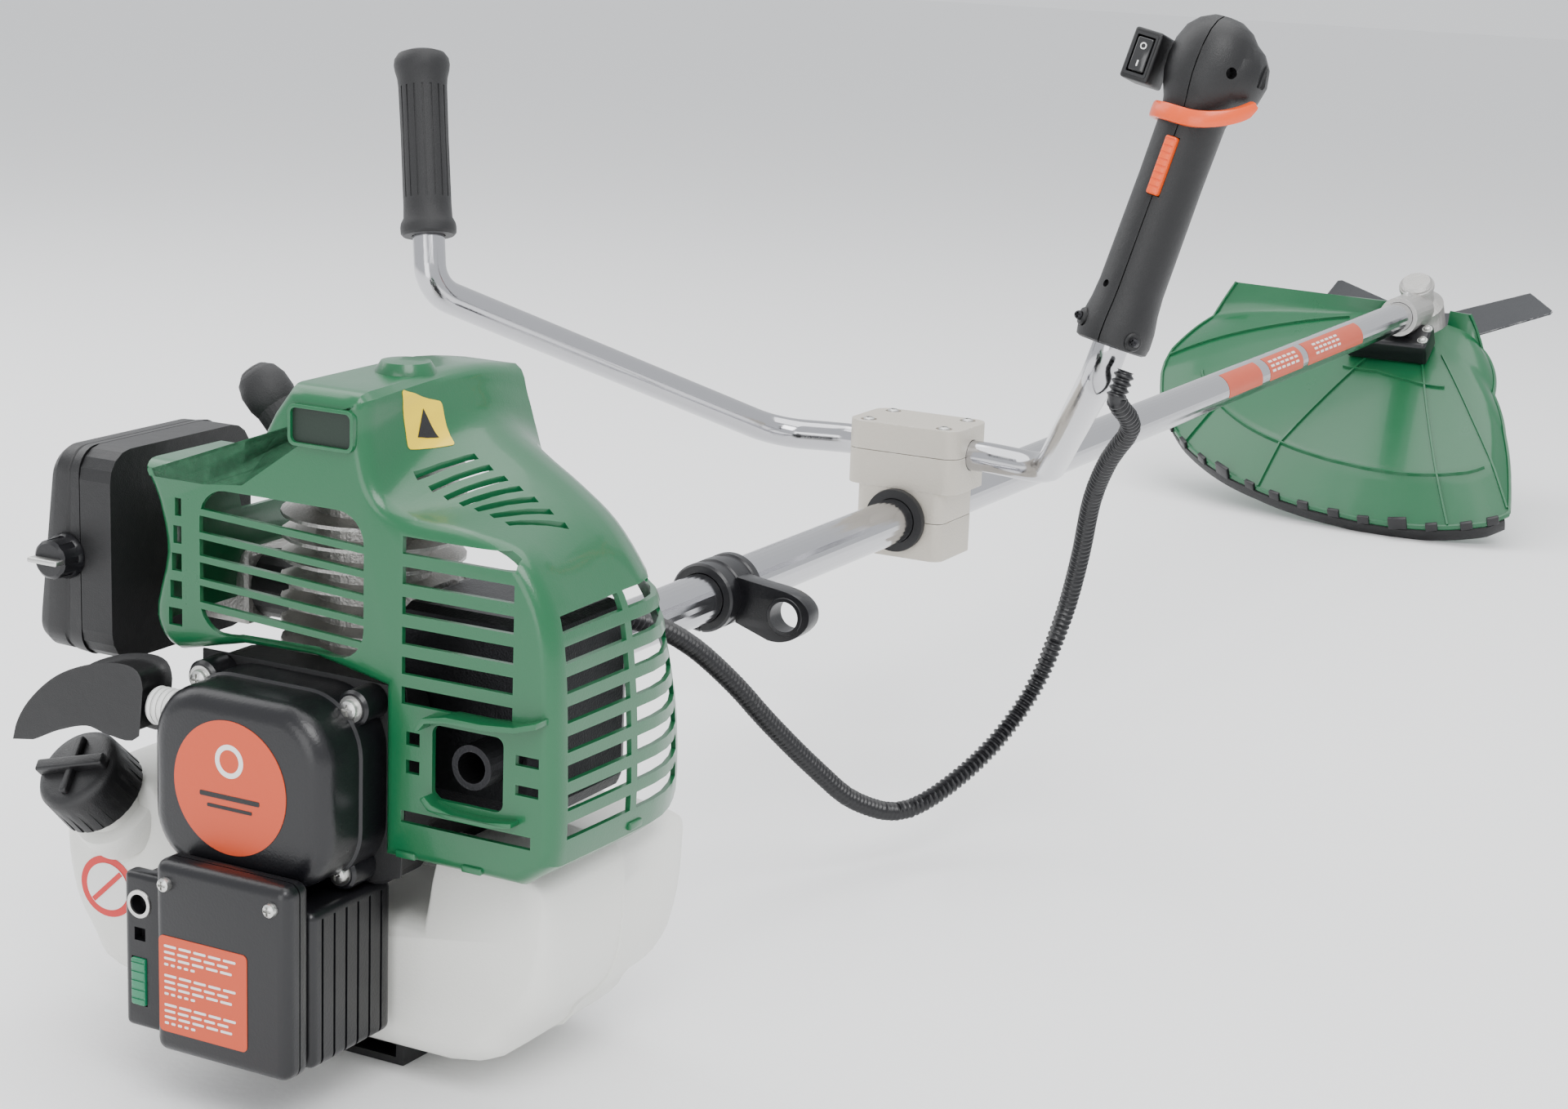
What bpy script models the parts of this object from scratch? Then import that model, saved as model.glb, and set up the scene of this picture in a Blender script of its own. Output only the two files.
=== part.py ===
"""Brush cutter: a petrol engine on a straight shaft, a bike handlebar, a three-arm blade and a guard.

Metres, +Z up. Everything is laid out with the shaft along +Y at the height SHAFT_Z. At the end the
whole machine leans by LEAN about the origin, the middle of the rear foot's flat underside, so that
the guard's trim rests on the same ground as the foot.
"""
import math

import bmesh
import bpy
from mathutils import Matrix, Vector

OBJECT_NAME = "brush_cutter"
GAP = 0.0003

# Main line
SHAFT_Z = 0.148
TUBE_R = 0.014
TUBE_WALL = 0.0015
TUBE_START = 0.118
HEAD_Y = 1.698
TUBE_END = HEAD_Y - 0.033
DRIVE_R = 0.004
LINER_Y = 0.900
LINER_LENGTH = 0.030

# Gear head, blade and guard: a frame tilted from the shaft, measured from the gear centre
HEAD_TILT = math.radians(32.0)
CASE_R = 0.024
CASE_LOW = -0.024
SLEEVE_R = TUBE_R + 0.0045
GEAR_R = 0.015
PINION_R = 0.0115
OUTPUT_R = 0.004
BLADE_R = 0.1275
BLADE_W = 0.038
BLADE_T = 0.0018
BLADE_H = -0.034
BLADE_TURN = math.radians(34.0)
BLADE_BORE = 0.0127
GUARD_T = 0.0025
GUARD_H = -0.008
GUARD_INNER = 0.032
GUARD_RIM_H = -0.042
TRIM_H = 0.018
TRIM_R = 0.262
TRIM_FROM = -53
TRIM_TO = 32

# Engine: a block round the crank, an upright finned cylinder
CYL_Y = -0.015
CYL_BASE = SHAFT_Z + 0.0323
CYL_TOP = SHAFT_Z + 0.130
BORE_R = 0.020
FIN_R = 0.042
FIN_COUNT = 9
CASE_FRONT = 0.022
CASE_REAR = -0.0597
CASE_HALF = 0.034
CRANK_R = 0.006
WEB_R = 0.023
THROW = 0.016
PORT_Z = SHAFT_Z + 0.062
FAN_R = 0.046
FAN_HOUSING_R = 0.060
FAN_HOUSING_END = 0.070
CLUTCH_R = 0.027
DRUM_R = 0.030
RECOIL_REAR = -0.124
RECOIL_FRONT = -0.080
STARTER_REAR = RECOIL_FRONT + GAP
COVER_REAR = -0.089
COVER_FRONT = 0.038
COVER_WALL = 0.0025

# Handlebar: points of one half, from the clamp outwards
BAR_R = 0.0095
BAR_Y = 0.562
BAR_Z = SHAFT_Z + 0.0418
BEND_1 = Vector((0.0947, 0.5504, BAR_Z))
BEND_2 = Vector((0.2106, 0.3311, SHAFT_Z + 0.1454))
GRIP_WAY = Vector((0.226, 0.234, 1.0)).normalized()
GRIP_START = 0.032
GRIP_END = 0.142
HANDLE_START = 0.014
HANDLE_LENGTH = 0.178
HANDLE_R = BAR_R + 0.0077
BUSH_R = TUBE_R + 0.004
HOOK_Y = 0.308
HOOK_HALF = 0.018
HOOK_EYE_R = 0.0085

FOOT_X = 0.038
FOOT_Y = 0.043

CONDUIT_R = 0.0055
CLIP_AT = Vector((0.045, FAN_HOUSING_END, SHAFT_Z + 0.034))
CLIP_HALF = 0.008

HEAD = Vector((0, HEAD_Y, SHAFT_Z))
HEAD_UP = Vector((0, -math.sin(HEAD_TILT), math.cos(HEAD_TILT)))
HEAD_FRAME = Matrix.Translation(HEAD) @ Matrix.Rotation(HEAD_TILT, 4, "X")

# The guard's edge: degrees from straight behind the head, positive to the right, and the share of TRIM_R.
GUARD_EDGE = ((-92, 0.72), (-81, 0.84), (-72, 0.93), (-65, 0.975), (-58, 1.0), (-46, 1.0), (-33, 0.985),
              (-22, 0.97),
              (-12, 0.97), (-2, 0.98), (6, 1.0), (13, 1.02), (21, 1.04), (28, 1.052), (33, 1.03),
              (36, 0.90),
              (41, 0.70), (48, 0.49), (70, 0.28), (84, 0.20))


def guard_radius(turn):
    for (a, low), (b, high) in zip(GUARD_EDGE, GUARD_EDGE[1:]):
        if a <= turn <= b:
            return TRIM_R * (low + (high - low) * (turn - a) / (b - a))
    return TRIM_R * GUARD_EDGE[-1][1]


def guard_point(turn, radius, height):
    """A point of the guard's frame: turn is measured from straight behind the head, positive to the right."""
    a = math.radians(turn)
    return HEAD_FRAME @ Vector((radius * math.sin(a), -radius * math.cos(a), height))


def ground_lean():
    """The angle about the origin that brings the guard trim's lowest point down to the ground."""
    low = [guard_point(turn, guard_radius(turn) - 0.007, GUARD_RIM_H - TRIM_H) for turn in range(TRIM_FROM,
                                                                                                 TRIM_TO)]
    return max(math.atan2(-p.z, p.y) for p in low)


LEAN = ground_lean()

parts = bpy.data.collections.new(OBJECT_NAME)
tools = bpy.data.collections.new("cutters")


def clear_scene():
    for obj in list(bpy.data.objects):
        bpy.data.objects.remove(obj, do_unlink=True)
    bpy.context.scene.collection.children.link(parts)
    bpy.context.scene.collection.children.link(tools)
    tools.hide_render = True


def finish(name, colour, roughness, metallic=0.0):
    made = bpy.data.materials.new(name)
    made.use_nodes = True
    shader = made.node_tree.nodes["Principled BSDF"]
    shader.inputs["Base Color"].default_value = (*colour, 1.0)
    shader.inputs["Roughness"].default_value = roughness
    shader.inputs["Metallic"].default_value = metallic
    return made


GREEN = finish("green_plastic", (0.02, 0.22, 0.09), 0.35)
BLACK = finish("black_plastic", (0.02, 0.02, 0.022), 0.45)
GLOSS = finish("gloss_black", (0.015, 0.015, 0.018), 0.2)
RUBBER = finish("black_rubber", (0.02, 0.02, 0.02), 0.7)
CAST = finish("cast_aluminium", (0.6, 0.58, 0.55), 0.45, 0.9)
CREAM = finish("painted_bracket", (0.62, 0.57, 0.5), 0.4, 0.3)
CHROME = finish("bright_tube", (0.8, 0.8, 0.82), 0.15, 1.0)
STEEL = finish("steel", (0.5, 0.5, 0.52), 0.3, 1.0)
DARK_STEEL = finish("dark_steel", (0.08, 0.08, 0.085), 0.4, 0.8)
TANK = finish("white_tank", (0.85, 0.85, 0.82), 0.5)
ORANGE = finish("orange_plastic", (0.85, 0.22, 0.04), 0.35)
LAMP = finish("green_button", (0.02, 0.35, 0.18), 0.3)
FOAM = finish("foam", (0.06, 0.06, 0.06), 0.95)


# ---------------------------------------------------------------- shape tools
def keep(obj, look):
    """Puts a finished piece, or a cutter where look is None, in its collection."""
    if look is None:
        tools.objects.link(obj)
        obj.hide_render = True
        obj.display_type = "WIRE"
        return obj
    obj.data.materials.clear()
    obj.data.materials.append(look)
    parts.objects.link(obj)
    if obj.type == "MESH":
        obj.data.shade_smooth()
        obj.data.set_sharp_from_angle(angle=math.radians(35))
    return obj


def mesh_object(name, shape):
    mesh = bpy.data.meshes.new(name)
    shape.to_mesh(mesh)
    shape.free()
    return bpy.data.objects.new(name, mesh)


def bevelled(obj, width, segments=2, angle=40):
    bevel = obj.modifiers.new("bevel", "BEVEL")
    bevel.width = width
    bevel.segments = segments
    bevel.limit_method = "ANGLE"
    bevel.angle_limit = math.radians(angle)
    return obj


def block(name, low, high, look=None, bevel=0.0, segments=2, turn=None):
    """A box between two corners. With turn, the corners are in that frame."""
    corners = (Vector(low), Vector(high))
    low = Vector([min(pair) for pair in zip(*corners)])
    high = Vector([max(pair) for pair in zip(*corners)])
    shape = bmesh.new()
    bmesh.ops.create_cube(shape, size=1.0)
    bmesh.ops.scale(shape, vec=high - low, verts=shape.verts)
    obj = mesh_object(name, shape)
    obj.matrix_world = (turn or Matrix()) @ Matrix.Translation((low + high) / 2)
    if bevel:
        bevelled(obj, bevel, segments)
    return keep(obj, look)


def blocks(name, boxes, look=None):
    """Several separate boxes as one piece, for a row of slots cut in one go."""
    shape = bmesh.new()
    for low, high in boxes:
        size = Vector(high) - Vector(low)
        place = Matrix.Translation((Vector(low) + Vector(high)) / 2) @ Matrix.Diagonal((*size, 1.0))
        bmesh.ops.create_cube(shape, size=1.0, matrix=place)
    return keep(mesh_object(name, shape), look)


def along(origin, way):
    """A frame at origin whose Z runs along way."""
    turn = Vector(way).normalized().to_track_quat("Z", "Y").to_matrix().to_4x4()
    return Matrix.Translation(origin) @ turn


def bar(name, start, end, radius, look=None, sides=24, end_radius=None, bevel=0.0):
    start = Vector(start)
    end = Vector(end)
    shape = bmesh.new()
    last = radius if end_radius is None else end_radius
    bmesh.ops.create_cone(shape, cap_ends=True, segments=sides, radius1=radius, radius2=last,
                          depth=(end - start).length)
    obj = mesh_object(name, shape)
    obj.matrix_world = along((start + end) / 2, end - start)
    if bevel:
        bevelled(obj, bevel)
    return keep(obj, look)


def turned(name, profile, origin, way, look=None, steps=28, ring=False):
    """Turns a profile of (radius, height) about way. It runs down the outer side, top to bottom."""
    shape = bmesh.new()
    points = [shape.verts.new((r, 0.0, h)) for r, h in profile]
    for first, second in zip(points, points[1:]):
        shape.edges.new((first, second))
    if ring:
        shape.edges.new((points[-1], points[0]))
    obj = mesh_object(name, shape)
    obj.matrix_world = along(origin, way)
    screw = obj.modifiers.new("turn", "SCREW")
    screw.axis = "Z"
    screw.steps = steps
    screw.render_steps = steps
    screw.use_merge_vertices = True
    screw.merge_threshold = 0.00001
    return keep(obj, look)


def tube(name, origin, way, inner, outer, low, high, look=None, steps=28):
    profile = [(outer, high), (outer, low), (inner, low), (inner, high)]
    return turned(name, profile, origin, way, look, steps, ring=True)


def as_mesh(obj, look=None):
    """The mesh of a curve, with its caps joined on, in the curve's place."""
    keep_name = obj.name
    graph = bpy.context.evaluated_depsgraph_get()
    graph.update()
    mesh = bpy.data.meshes.new_from_object(obj.evaluated_get(graph))
    shape = bmesh.new()
    shape.from_mesh(mesh)
    bmesh.ops.remove_doubles(shape, verts=shape.verts, dist=0.00001)
    bmesh.ops.recalc_face_normals(shape, faces=shape.faces)
    shape.to_mesh(mesh)
    shape.free()
    place = obj.matrix_world.copy()
    bpy.data.objects.remove(obj, do_unlink=True)
    made = bpy.data.objects.new(keep_name, mesh)
    made.matrix_world = place
    return keep(made, look)


def curve_object(name, splines, flat, look=None):
    curve = bpy.data.curves.new(name, "CURVE")
    curve.dimensions = "2D" if flat else "3D"
    for points in splines:
        spline = curve.splines.new("POLY")
        spline.points.add(len(points) - 1)
        for point, at in zip(spline.points, points):
            place = (*at, 0.0) if flat else tuple(at)
            point.co = (*place, 1.0)
        spline.use_cyclic_u = flat
    return keep(bpy.data.objects.new(name, curve), look)


def plate(name, outlines, low, high, turn, look=None, bevel=0.0, segments=2):
    """A flat outline, with any holes after it, from height low to high of the frame turn."""
    obj = curve_object(name, outlines, True)
    obj.data.fill_mode = "BOTH"
    obj.data.extrude = (high - low) / 2
    obj.matrix_world = turn @ Matrix.Translation((0, 0, (low + high) / 2))
    made = as_mesh(obj, look)
    if bevel:
        bevelled(made, bevel, segments)
    return made


def rear_plate(name, outline, rear, front, look=None, bevel=0.0, segments=2):
    """An outline in X and Z, as thick as from rear to front along Y."""
    return plate(name, [outline], -front, -rear, Matrix.Rotation(math.radians(90), 4, "X"), look, bevel,
                 segments)


def pipe(name, points, radius, look=None, resolution=3):
    obj = curve_object(name, [points], False)
    obj.data.bevel_depth = radius
    obj.data.bevel_resolution = resolution
    obj.data.use_fill_caps = True
    return as_mesh(obj, look)


def combine(obj, tool, operation):
    boolean = obj.modifiers.new(operation.lower(), "BOOLEAN")
    boolean.operation = operation
    boolean.solver = "EXACT"
    boolean.object = tool
    return obj


def cut(obj, *cutters):
    for cutter in cutters:
        combine(obj, cutter, "DIFFERENCE")
    return obj


def join(obj, *added):
    for piece in added:
        combine(obj, piece, "UNION")
    return obj


def put_origin(obj, point):
    """Moves a piece's origin to its joint's axis, with the shape where it was."""
    shift = obj.matrix_world.inverted() @ Vector(point)
    obj.data.transform(Matrix.Translation(-shift))
    obj.matrix_world = obj.matrix_world @ Matrix.Translation(shift)
    return obj


def rounded_box(x0, x1, z0, z1, radius, steps=4):
    """An outline with four round corners, anticlockwise."""
    corners = ((x1 - radius, z0 + radius, -90), (x1 - radius, z1 - radius, 0))
    corners += ((x0 + radius, z1 - radius, 90), (x0 + radius, z0 + radius, 180))
    points = []
    for x, z, start in corners:
        for i in range(steps + 1):
            turn = math.radians(start + 90 * i / steps)
            points.append((x + radius * math.cos(turn), z + radius * math.sin(turn)))
    return points


def circle(x, z, radius, sides=24):
    turns = (math.tau * i / sides for i in range(sides))
    return [(x + radius * math.cos(a), z + radius * math.sin(a)) for a in turns]


def smooth_route(points, spacing):
    """Points on a smooth curve through these, about spacing apart."""
    points = [Vector(p) for p in points]
    ends = [2 * points[0] - points[1], *points, 2 * points[-1] - points[-2]]
    route = []
    for a, b, c, d in zip(ends, ends[1:], ends[2:], ends[3:]):
        steps = max(1, round((c - b).length / spacing))
        for i in range(steps):
            t = i / steps
            bend = 2 * b + (c - a) * t + (2 * a - 5 * b + 4 * c - d) * t * t
            route.append((bend + (3 * b - a - 3 * c + d) * t ** 3) / 2)
    return [*route, points[-1]]


def bent_route(corners, radii, steps=5):
    """Straight runs with a round bend at each inner corner, each of its own radius."""
    corners = [Vector(c) for c in corners]
    route = [corners[0]]
    for before, at, after, radius in zip(corners, corners[1:], corners[2:], radii):
        a = (before - at).normalized()
        b = (after - at).normalized()
        half = a.angle(b) / 2
        reach = radius / math.tan(half)
        middle = at + (a + b).normalized() * radius / math.sin(half)
        first = at + a * reach - middle
        last = at + b * reach - middle
        sweep = first.angle(last)
        for i in range(steps + 1):
            t = i / steps
            turn = (math.sin((1 - t) * sweep) * first + math.sin(t * sweep) * last) / math.sin(sweep)
            route.append(middle + turn)
    return [*route, corners[-1]]


Y = Vector((0, 1, 0))
CRANK = Vector((0, 0, SHAFT_Z))


# ---------------------------------------------------------------- engine inside
def crank_group():
    rear = CASE_REAR - 0.032
    web_rear = CYL_Y - 0.0160
    web_front = CYL_Y + 0.0160
    web = 0.0085
    shaft = bar("crankshaft", (0, rear, SHAFT_Z), (0, web_rear + 0.001, SHAFT_Z), CRANK_R, STEEL)
    first = bar("web_1", (0, web_rear, SHAFT_Z), (0, web_rear + web, SHAFT_Z), WEB_R, sides=28)
    second = bar("web_2", (0, web_front - web, SHAFT_Z), (0, web_front, SHAFT_Z), WEB_R, sides=28)
    pin = bar("pin", (0, web_rear + 0.001, SHAFT_Z + THROW), (0, web_front - 0.001, SHAFT_Z + THROW), 0.005)
    nose = bar("nose", (0, web_front - 0.001, SHAFT_Z), (0, 0.063, SHAFT_Z), CRANK_R)
    join(shaft, first, second, pin, nose)
    put_origin(shaft, (0, CYL_Y, SHAFT_Z))


def crankcase():
    low = (-CASE_HALF, CASE_REAR, SHAFT_Z - 0.040)
    case = block("crankcase", low, (CASE_HALF, CASE_FRONT, CYL_BASE - GAP), CAST, 0.004)
    flange = bar("fan_flange", (0, CASE_FRONT - 0.003, SHAFT_Z), (0, CASE_FRONT, SHAFT_Z), FAN_HOUSING_R,
                 sides=40)
    outline = rounded_box(-0.044, 0.062, SHAFT_Z - 0.0455, SHAFT_Z + 0.046, 0.014)
    plate_rear = rear_plate("starter_plate", outline, STARTER_REAR, CASE_REAR + 0.0005)
    wide = bar("plate_bore", (0, STARTER_REAR - 0.01, SHAFT_Z), (0, CASE_REAR, SHAFT_Z), 0.014)
    chamber = bar("chamber", (0, CYL_Y - 0.022, SHAFT_Z), (0, CYL_Y + 0.022, SHAFT_Z), WEB_R + 0.003,
                  sides=32)
    line = bar("line", (0, CASE_REAR - 0.03, SHAFT_Z), (0, CASE_FRONT + 0.01, SHAFT_Z), CRANK_R + GAP)
    mouth = bar("mouth", (0, CYL_Y, SHAFT_Z), (0, CYL_Y, CYL_BASE + 0.01), 0.019)
    join(case, flange, plate_rear)
    return cut(case, chamber, line, wide, mouth)


PLUG_WAY = Vector((-0.66, -0.05, 0.75)).normalized()
PLUG_FOOT = Vector((-0.006, CYL_Y, SHAFT_Z + 0.094))
PLUG_SEAT = 0.044


def cylinder_group():
    barrel = BORE_R + 0.006
    roof = CYL_BASE + 0.060
    fins_low = CYL_BASE + 0.012
    fins_high = CYL_TOP - 0.006
    profile = [(0, CYL_TOP), (barrel, CYL_TOP)]
    pitch = (fins_high - fins_low) / (FIN_COUNT - 1)
    for i in reversed(range(FIN_COUNT)):
        middle = fins_low + i * pitch
        profile += [(barrel, middle + 0.0011), (FIN_R, middle + 0.0008), (FIN_R, middle - 0.0008),
                    (barrel, middle - 0.0011)]
    profile += [(barrel, CYL_BASE + 0.006), (0.031, CYL_BASE + 0.005), (0.031, CYL_BASE), (0, CYL_BASE)]
    body = turned("cylinder", profile, (0, CYL_Y, 0), (0, 0, 1), CAST, 28)
    boss = bar("boss", PLUG_FOOT, PLUG_FOOT + PLUG_WAY * PLUG_SEAT, 0.0105)
    bore = bar("plug_bore", PLUG_FOOT - PLUG_WAY * 0.001, PLUG_FOOT + PLUG_WAY * 0.06, 0.0063)
    flat_right = block("flat_right", (0.036, CYL_Y - 0.02, PORT_Z - 0.016),
                       (0.06, CYL_Y + 0.02, PORT_Z + 0.016))
    flat_left = block("flat_left", (-0.06, CYL_Y - 0.02, PORT_Z - 0.016),
                      (-0.036, CYL_Y + 0.02, PORT_Z + 0.016))
    right = block("right_boss", (0.015, CYL_Y - 0.016, PORT_Z - 0.013),
                  (0.036, CYL_Y + 0.016, PORT_Z + 0.013))
    left = block("left_boss", (-0.036, CYL_Y - 0.016, PORT_Z - 0.013),
                 (-0.015, CYL_Y + 0.016, PORT_Z + 0.013))
    inside = [(0, roof + 0.005), (0.012, roof + 0.004), (BORE_R, roof), (BORE_R, CYL_BASE - 0.01),
              (0, CYL_BASE - 0.01)]
    hollow = turned("bore", inside, (0, CYL_Y, 0), (0, 0, 1), steps=28)
    exhaust = bar("exhaust_port", (0.010, CYL_Y, PORT_Z), (0.05, CYL_Y, PORT_Z), 0.009, sides=20)
    intake = bar("intake_port", (-0.010, CYL_Y, PORT_Z), (-0.05, CYL_Y, PORT_Z), 0.008, sides=20)
    above_fan = block("above_fan", (-0.06, CASE_FRONT - 0.0035, CYL_BASE - 0.01),
                      (0.06, 0.06, SHAFT_Z + FAN_HOUSING_R + 0.001))
    seat_room = bar("seat_room", PLUG_FOOT + PLUG_WAY * 0.032, PLUG_FOOT + PLUG_WAY * 0.07, 0.013)
    cut(body, flat_right, flat_left, above_fan, seat_room)
    join(body, boss, right, left)
    cut(body, hollow, bore, exhaust, intake)

    crown = roof - 0.0015
    skirt = [(0, crown), (BORE_R - GAP, crown), (BORE_R - GAP, crown - 0.031),
             (BORE_R - 0.003, crown - 0.031)]
    skirt += [(BORE_R - 0.003, crown - 0.004), (0, crown - 0.004)]
    piston = turned("piston", skirt, (0, CYL_Y, 0), (0, 0, 1), CAST, 28)
    pin_z = crown - 0.018
    reach = BORE_R - 0.0015
    join(piston, bar("piston_pin", (0, CYL_Y - reach, pin_z), (0, CYL_Y + reach, pin_z), 0.004, sides=20))
    low_end = SHAFT_Z + WEB_R + 0.0015
    rod = bar("connecting_rod", (0, CYL_Y - 0.004, pin_z), (0, CYL_Y + 0.004, pin_z), 0.0075, STEEL)
    shank = block("shank", (-0.0035, CYL_Y - 0.003, low_end), (0.0035, CYL_Y + 0.003, pin_z - 0.002))
    eye = bar("eye", (0, CYL_Y - 0.01, pin_z), (0, CYL_Y + 0.01, pin_z), 0.004 + GAP)
    cut(join(rod, shank), eye)


def spark_plug():
    seat = PLUG_SEAT + GAP
    profile = [(0, seat + 0.034), (0.003, seat + 0.034), (0.003, seat + 0.030), (0.0048, seat + 0.029)]
    profile += [(0.0048, seat + 0.009), (0.0092, seat + 0.008), (0.0092, seat), (0.006, seat),
                (0.006, seat - 0.038), (0, seat - 0.038)]
    turned("spark_plug", profile, PLUG_FOOT, PLUG_WAY, STEEL, 20)
    top = seat + 0.046
    low = seat + 0.0095
    hood = [(0, top), (0.0070, top - 0.001), (0.0105, top - 0.007), (0.0105, low), (0.0052, low)]
    hood += [(0.0052, seat + 0.0345), (0, seat + 0.0345)]
    turned("plug_boot", hood, PLUG_FOOT, PLUG_WAY, RUBBER, 24)


def fan_group():
    wheel = turned("flywheel", [(FAN_R, 0.034), (FAN_R, 0.030), (0.011, 0.028), (CRANK_R + GAP, 0.028),
                                (CRANK_R + GAP, 0.046), (0.011, 0.046), (0.011, 0.034)], CRANK, Y, CAST, 36,
                                ring=True)
    vanes = 12
    outline = []
    for i in range(vanes):
        for turn, radius in ((0.0, 0.016), (0.04, 0.043), (0.12, 0.043), (0.20, 0.016)):
            a = math.tau * i / vanes + turn
            outline.append((radius * math.cos(a), SHAFT_Z + radius * math.sin(a)))
    fan = rear_plate("vanes", outline, 0.033, 0.044)
    keyway = bar("fan_bore", (0, 0.02, SHAFT_Z), (0, 0.06, SHAFT_Z), 0.0105)
    cut(fan, keyway)
    join(wheel, fan)
    put_origin(wheel, CRANK)
    low = CASE_FRONT + GAP
    wall = 0.003
    profile = [(FAN_HOUSING_R, FAN_HOUSING_END), (FAN_HOUSING_R, low), (FAN_HOUSING_R - wall, low)]
    profile += [(FAN_HOUSING_R - wall, FAN_HOUSING_END - wall), (DRUM_R + 0.004, FAN_HOUSING_END - wall)]
    profile += [(DRUM_R + 0.004, FAN_HOUSING_END)]
    housing = turned("fan_housing", profile, CRANK, Y, BLACK, 40, ring=True)
    side = CLIP_HALF
    clip = block("conduit_clip", CLIP_AT - Vector((side, 0.003, side)),
                 CLIP_AT + Vector((side, 0.012, side)))
    join(housing, clip)


def clutch_group():
    rotor = tube("clutch_rotor", CRANK, Y, CRANK_R + GAP, CLUTCH_R, 0.050, 0.0605, STEEL)
    for i, side in enumerate((-1, 1)):
        cut(rotor, block("slot_%d" % i, (side * 0.011 - 0.001, 0.04, SHAFT_Z - side * 0.03),
                         (side * 0.011 + 0.001, 0.07, SHAFT_Z + side * 0.012)))
    put_origin(rotor, CRANK)
    inner = CLUTCH_R + 0.0008
    drum = [(DRUM_R, 0.0665), (DRUM_R, 0.0485), (inner, 0.0485), (inner, 0.0640), (DRIVE_R + GAP, 0.0640)]
    drum += [(DRIVE_R + GAP, 0.100), (0.008, 0.100), (0.008, 0.0665)]
    put_origin(turned("clutch_drum", drum, CRANK, Y, STEEL, 28, ring=True), CRANK)
    face = FAN_HOUSING_END + GAP
    nose = TUBE_R + 0.005
    profile = [(nose, 0.150), (nose, 0.116), (0.038, 0.080), (0.0445, 0.076), (0.0445, face), (0.033, face)]
    profile += [(0.033, 0.078), (0.008 + GAP, 0.082), (0.008 + GAP, TUBE_START - GAP)]
    profile += [(TUBE_R + GAP, TUBE_START - GAP), (TUBE_R + GAP, 0.150)]
    turned("clutch_housing", profile, CRANK, Y, CAST, 32, ring=True)


def exhaust():
    face = 0.0363
    rear = CASE_REAR + 0.0015
    low = SHAFT_Z - 0.012
    case = block("muffler", (face, rear, low), (0.120, CYL_Y + 0.030, low + 0.088), DARK_STEEL, 0.008)
    inside_low = (face + 0.004, rear + 0.003, low + 0.003)
    hollow = block("muffler_inside", inside_low, (0.117, CYL_Y + 0.027, low + 0.085))
    # The muffler's left side steps back round the crankcase and the fins.
    step = block("muffler_step", (0.0, -0.2, SHAFT_Z - 0.1), (0.0455, 0.2, PORT_Z - 0.016))
    top_step = block("muffler_top_step", (0.0, -0.2, PORT_Z + 0.016), (0.0455, 0.2, SHAFT_Z + 0.2))
    sides = [block("muffler_side_%d" % i, (0.0, CYL_Y + low, SHAFT_Z - 0.1),
                   (0.0455, CYL_Y + high, SHAFT_Z + 0.2))
             for i, (low, high) in enumerate(((-0.2, -0.019), (0.019, 0.2)))]
    out = (0.100, COVER_REAR + 0.006, SHAFT_Z + 0.018)
    outlet = bar("outlet", (out[0], rear + 0.001, out[2]), out, 0.010)
    hole = bar("outlet_hole", (out[0], rear + 0.008, out[2]), (out[0], out[1] - 0.01, out[2]), 0.007)
    inlet = bar("inlet", (0.02, CYL_Y, PORT_Z), (0.060, CYL_Y, PORT_Z), 0.009)
    inside_step = block("inside_keep", (face + 0.004, -0.2, SHAFT_Z - 0.1), (0.0485, 0.2, SHAFT_Z + 0.2))
    cut(hollow, inside_step)
    cut(case, step, top_step, *sides)
    join(case, outlet)
    cut(case, hollow, hole, inlet)


def intake_group():
    port = Vector((0, CYL_Y, PORT_Z))
    west = Vector((-1, 0, 0))
    tube("intake_manifold", port, west, 0.008, 0.016, 0.0363, 0.0577, BLACK, 24)
    body = block("carburettor", (-0.0880, CYL_Y - 0.017, PORT_Z - 0.018),
                 (-0.0580, CYL_Y + 0.017, PORT_Z + 0.018), CAST, 0.003)
    cut(body, bar("throat", (-0.1, CYL_Y, PORT_Z), (-0.05, CYL_Y, PORT_Z), 0.008))
    top = PORT_Z + 0.018 + GAP
    cam = bar("throttle_cam", (-0.073, CYL_Y, top), (-0.073, CYL_Y, top + 0.005), 0.010, STEEL)
    join(cam, block("cam_arm", (-0.077, CYL_Y, top), (-0.069, CYL_Y + 0.022, top + 0.003)))
    put_origin(cam, (-0.073, CYL_Y, top))


FILTER_LOW = SHAFT_Z + 0.034
FILTER_HIGH = SHAFT_Z + 0.131
FILTER_REAR = COVER_REAR - 0.002
FILTER_FRONT = 0.008
FILTER_SPLIT = -0.1060


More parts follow.
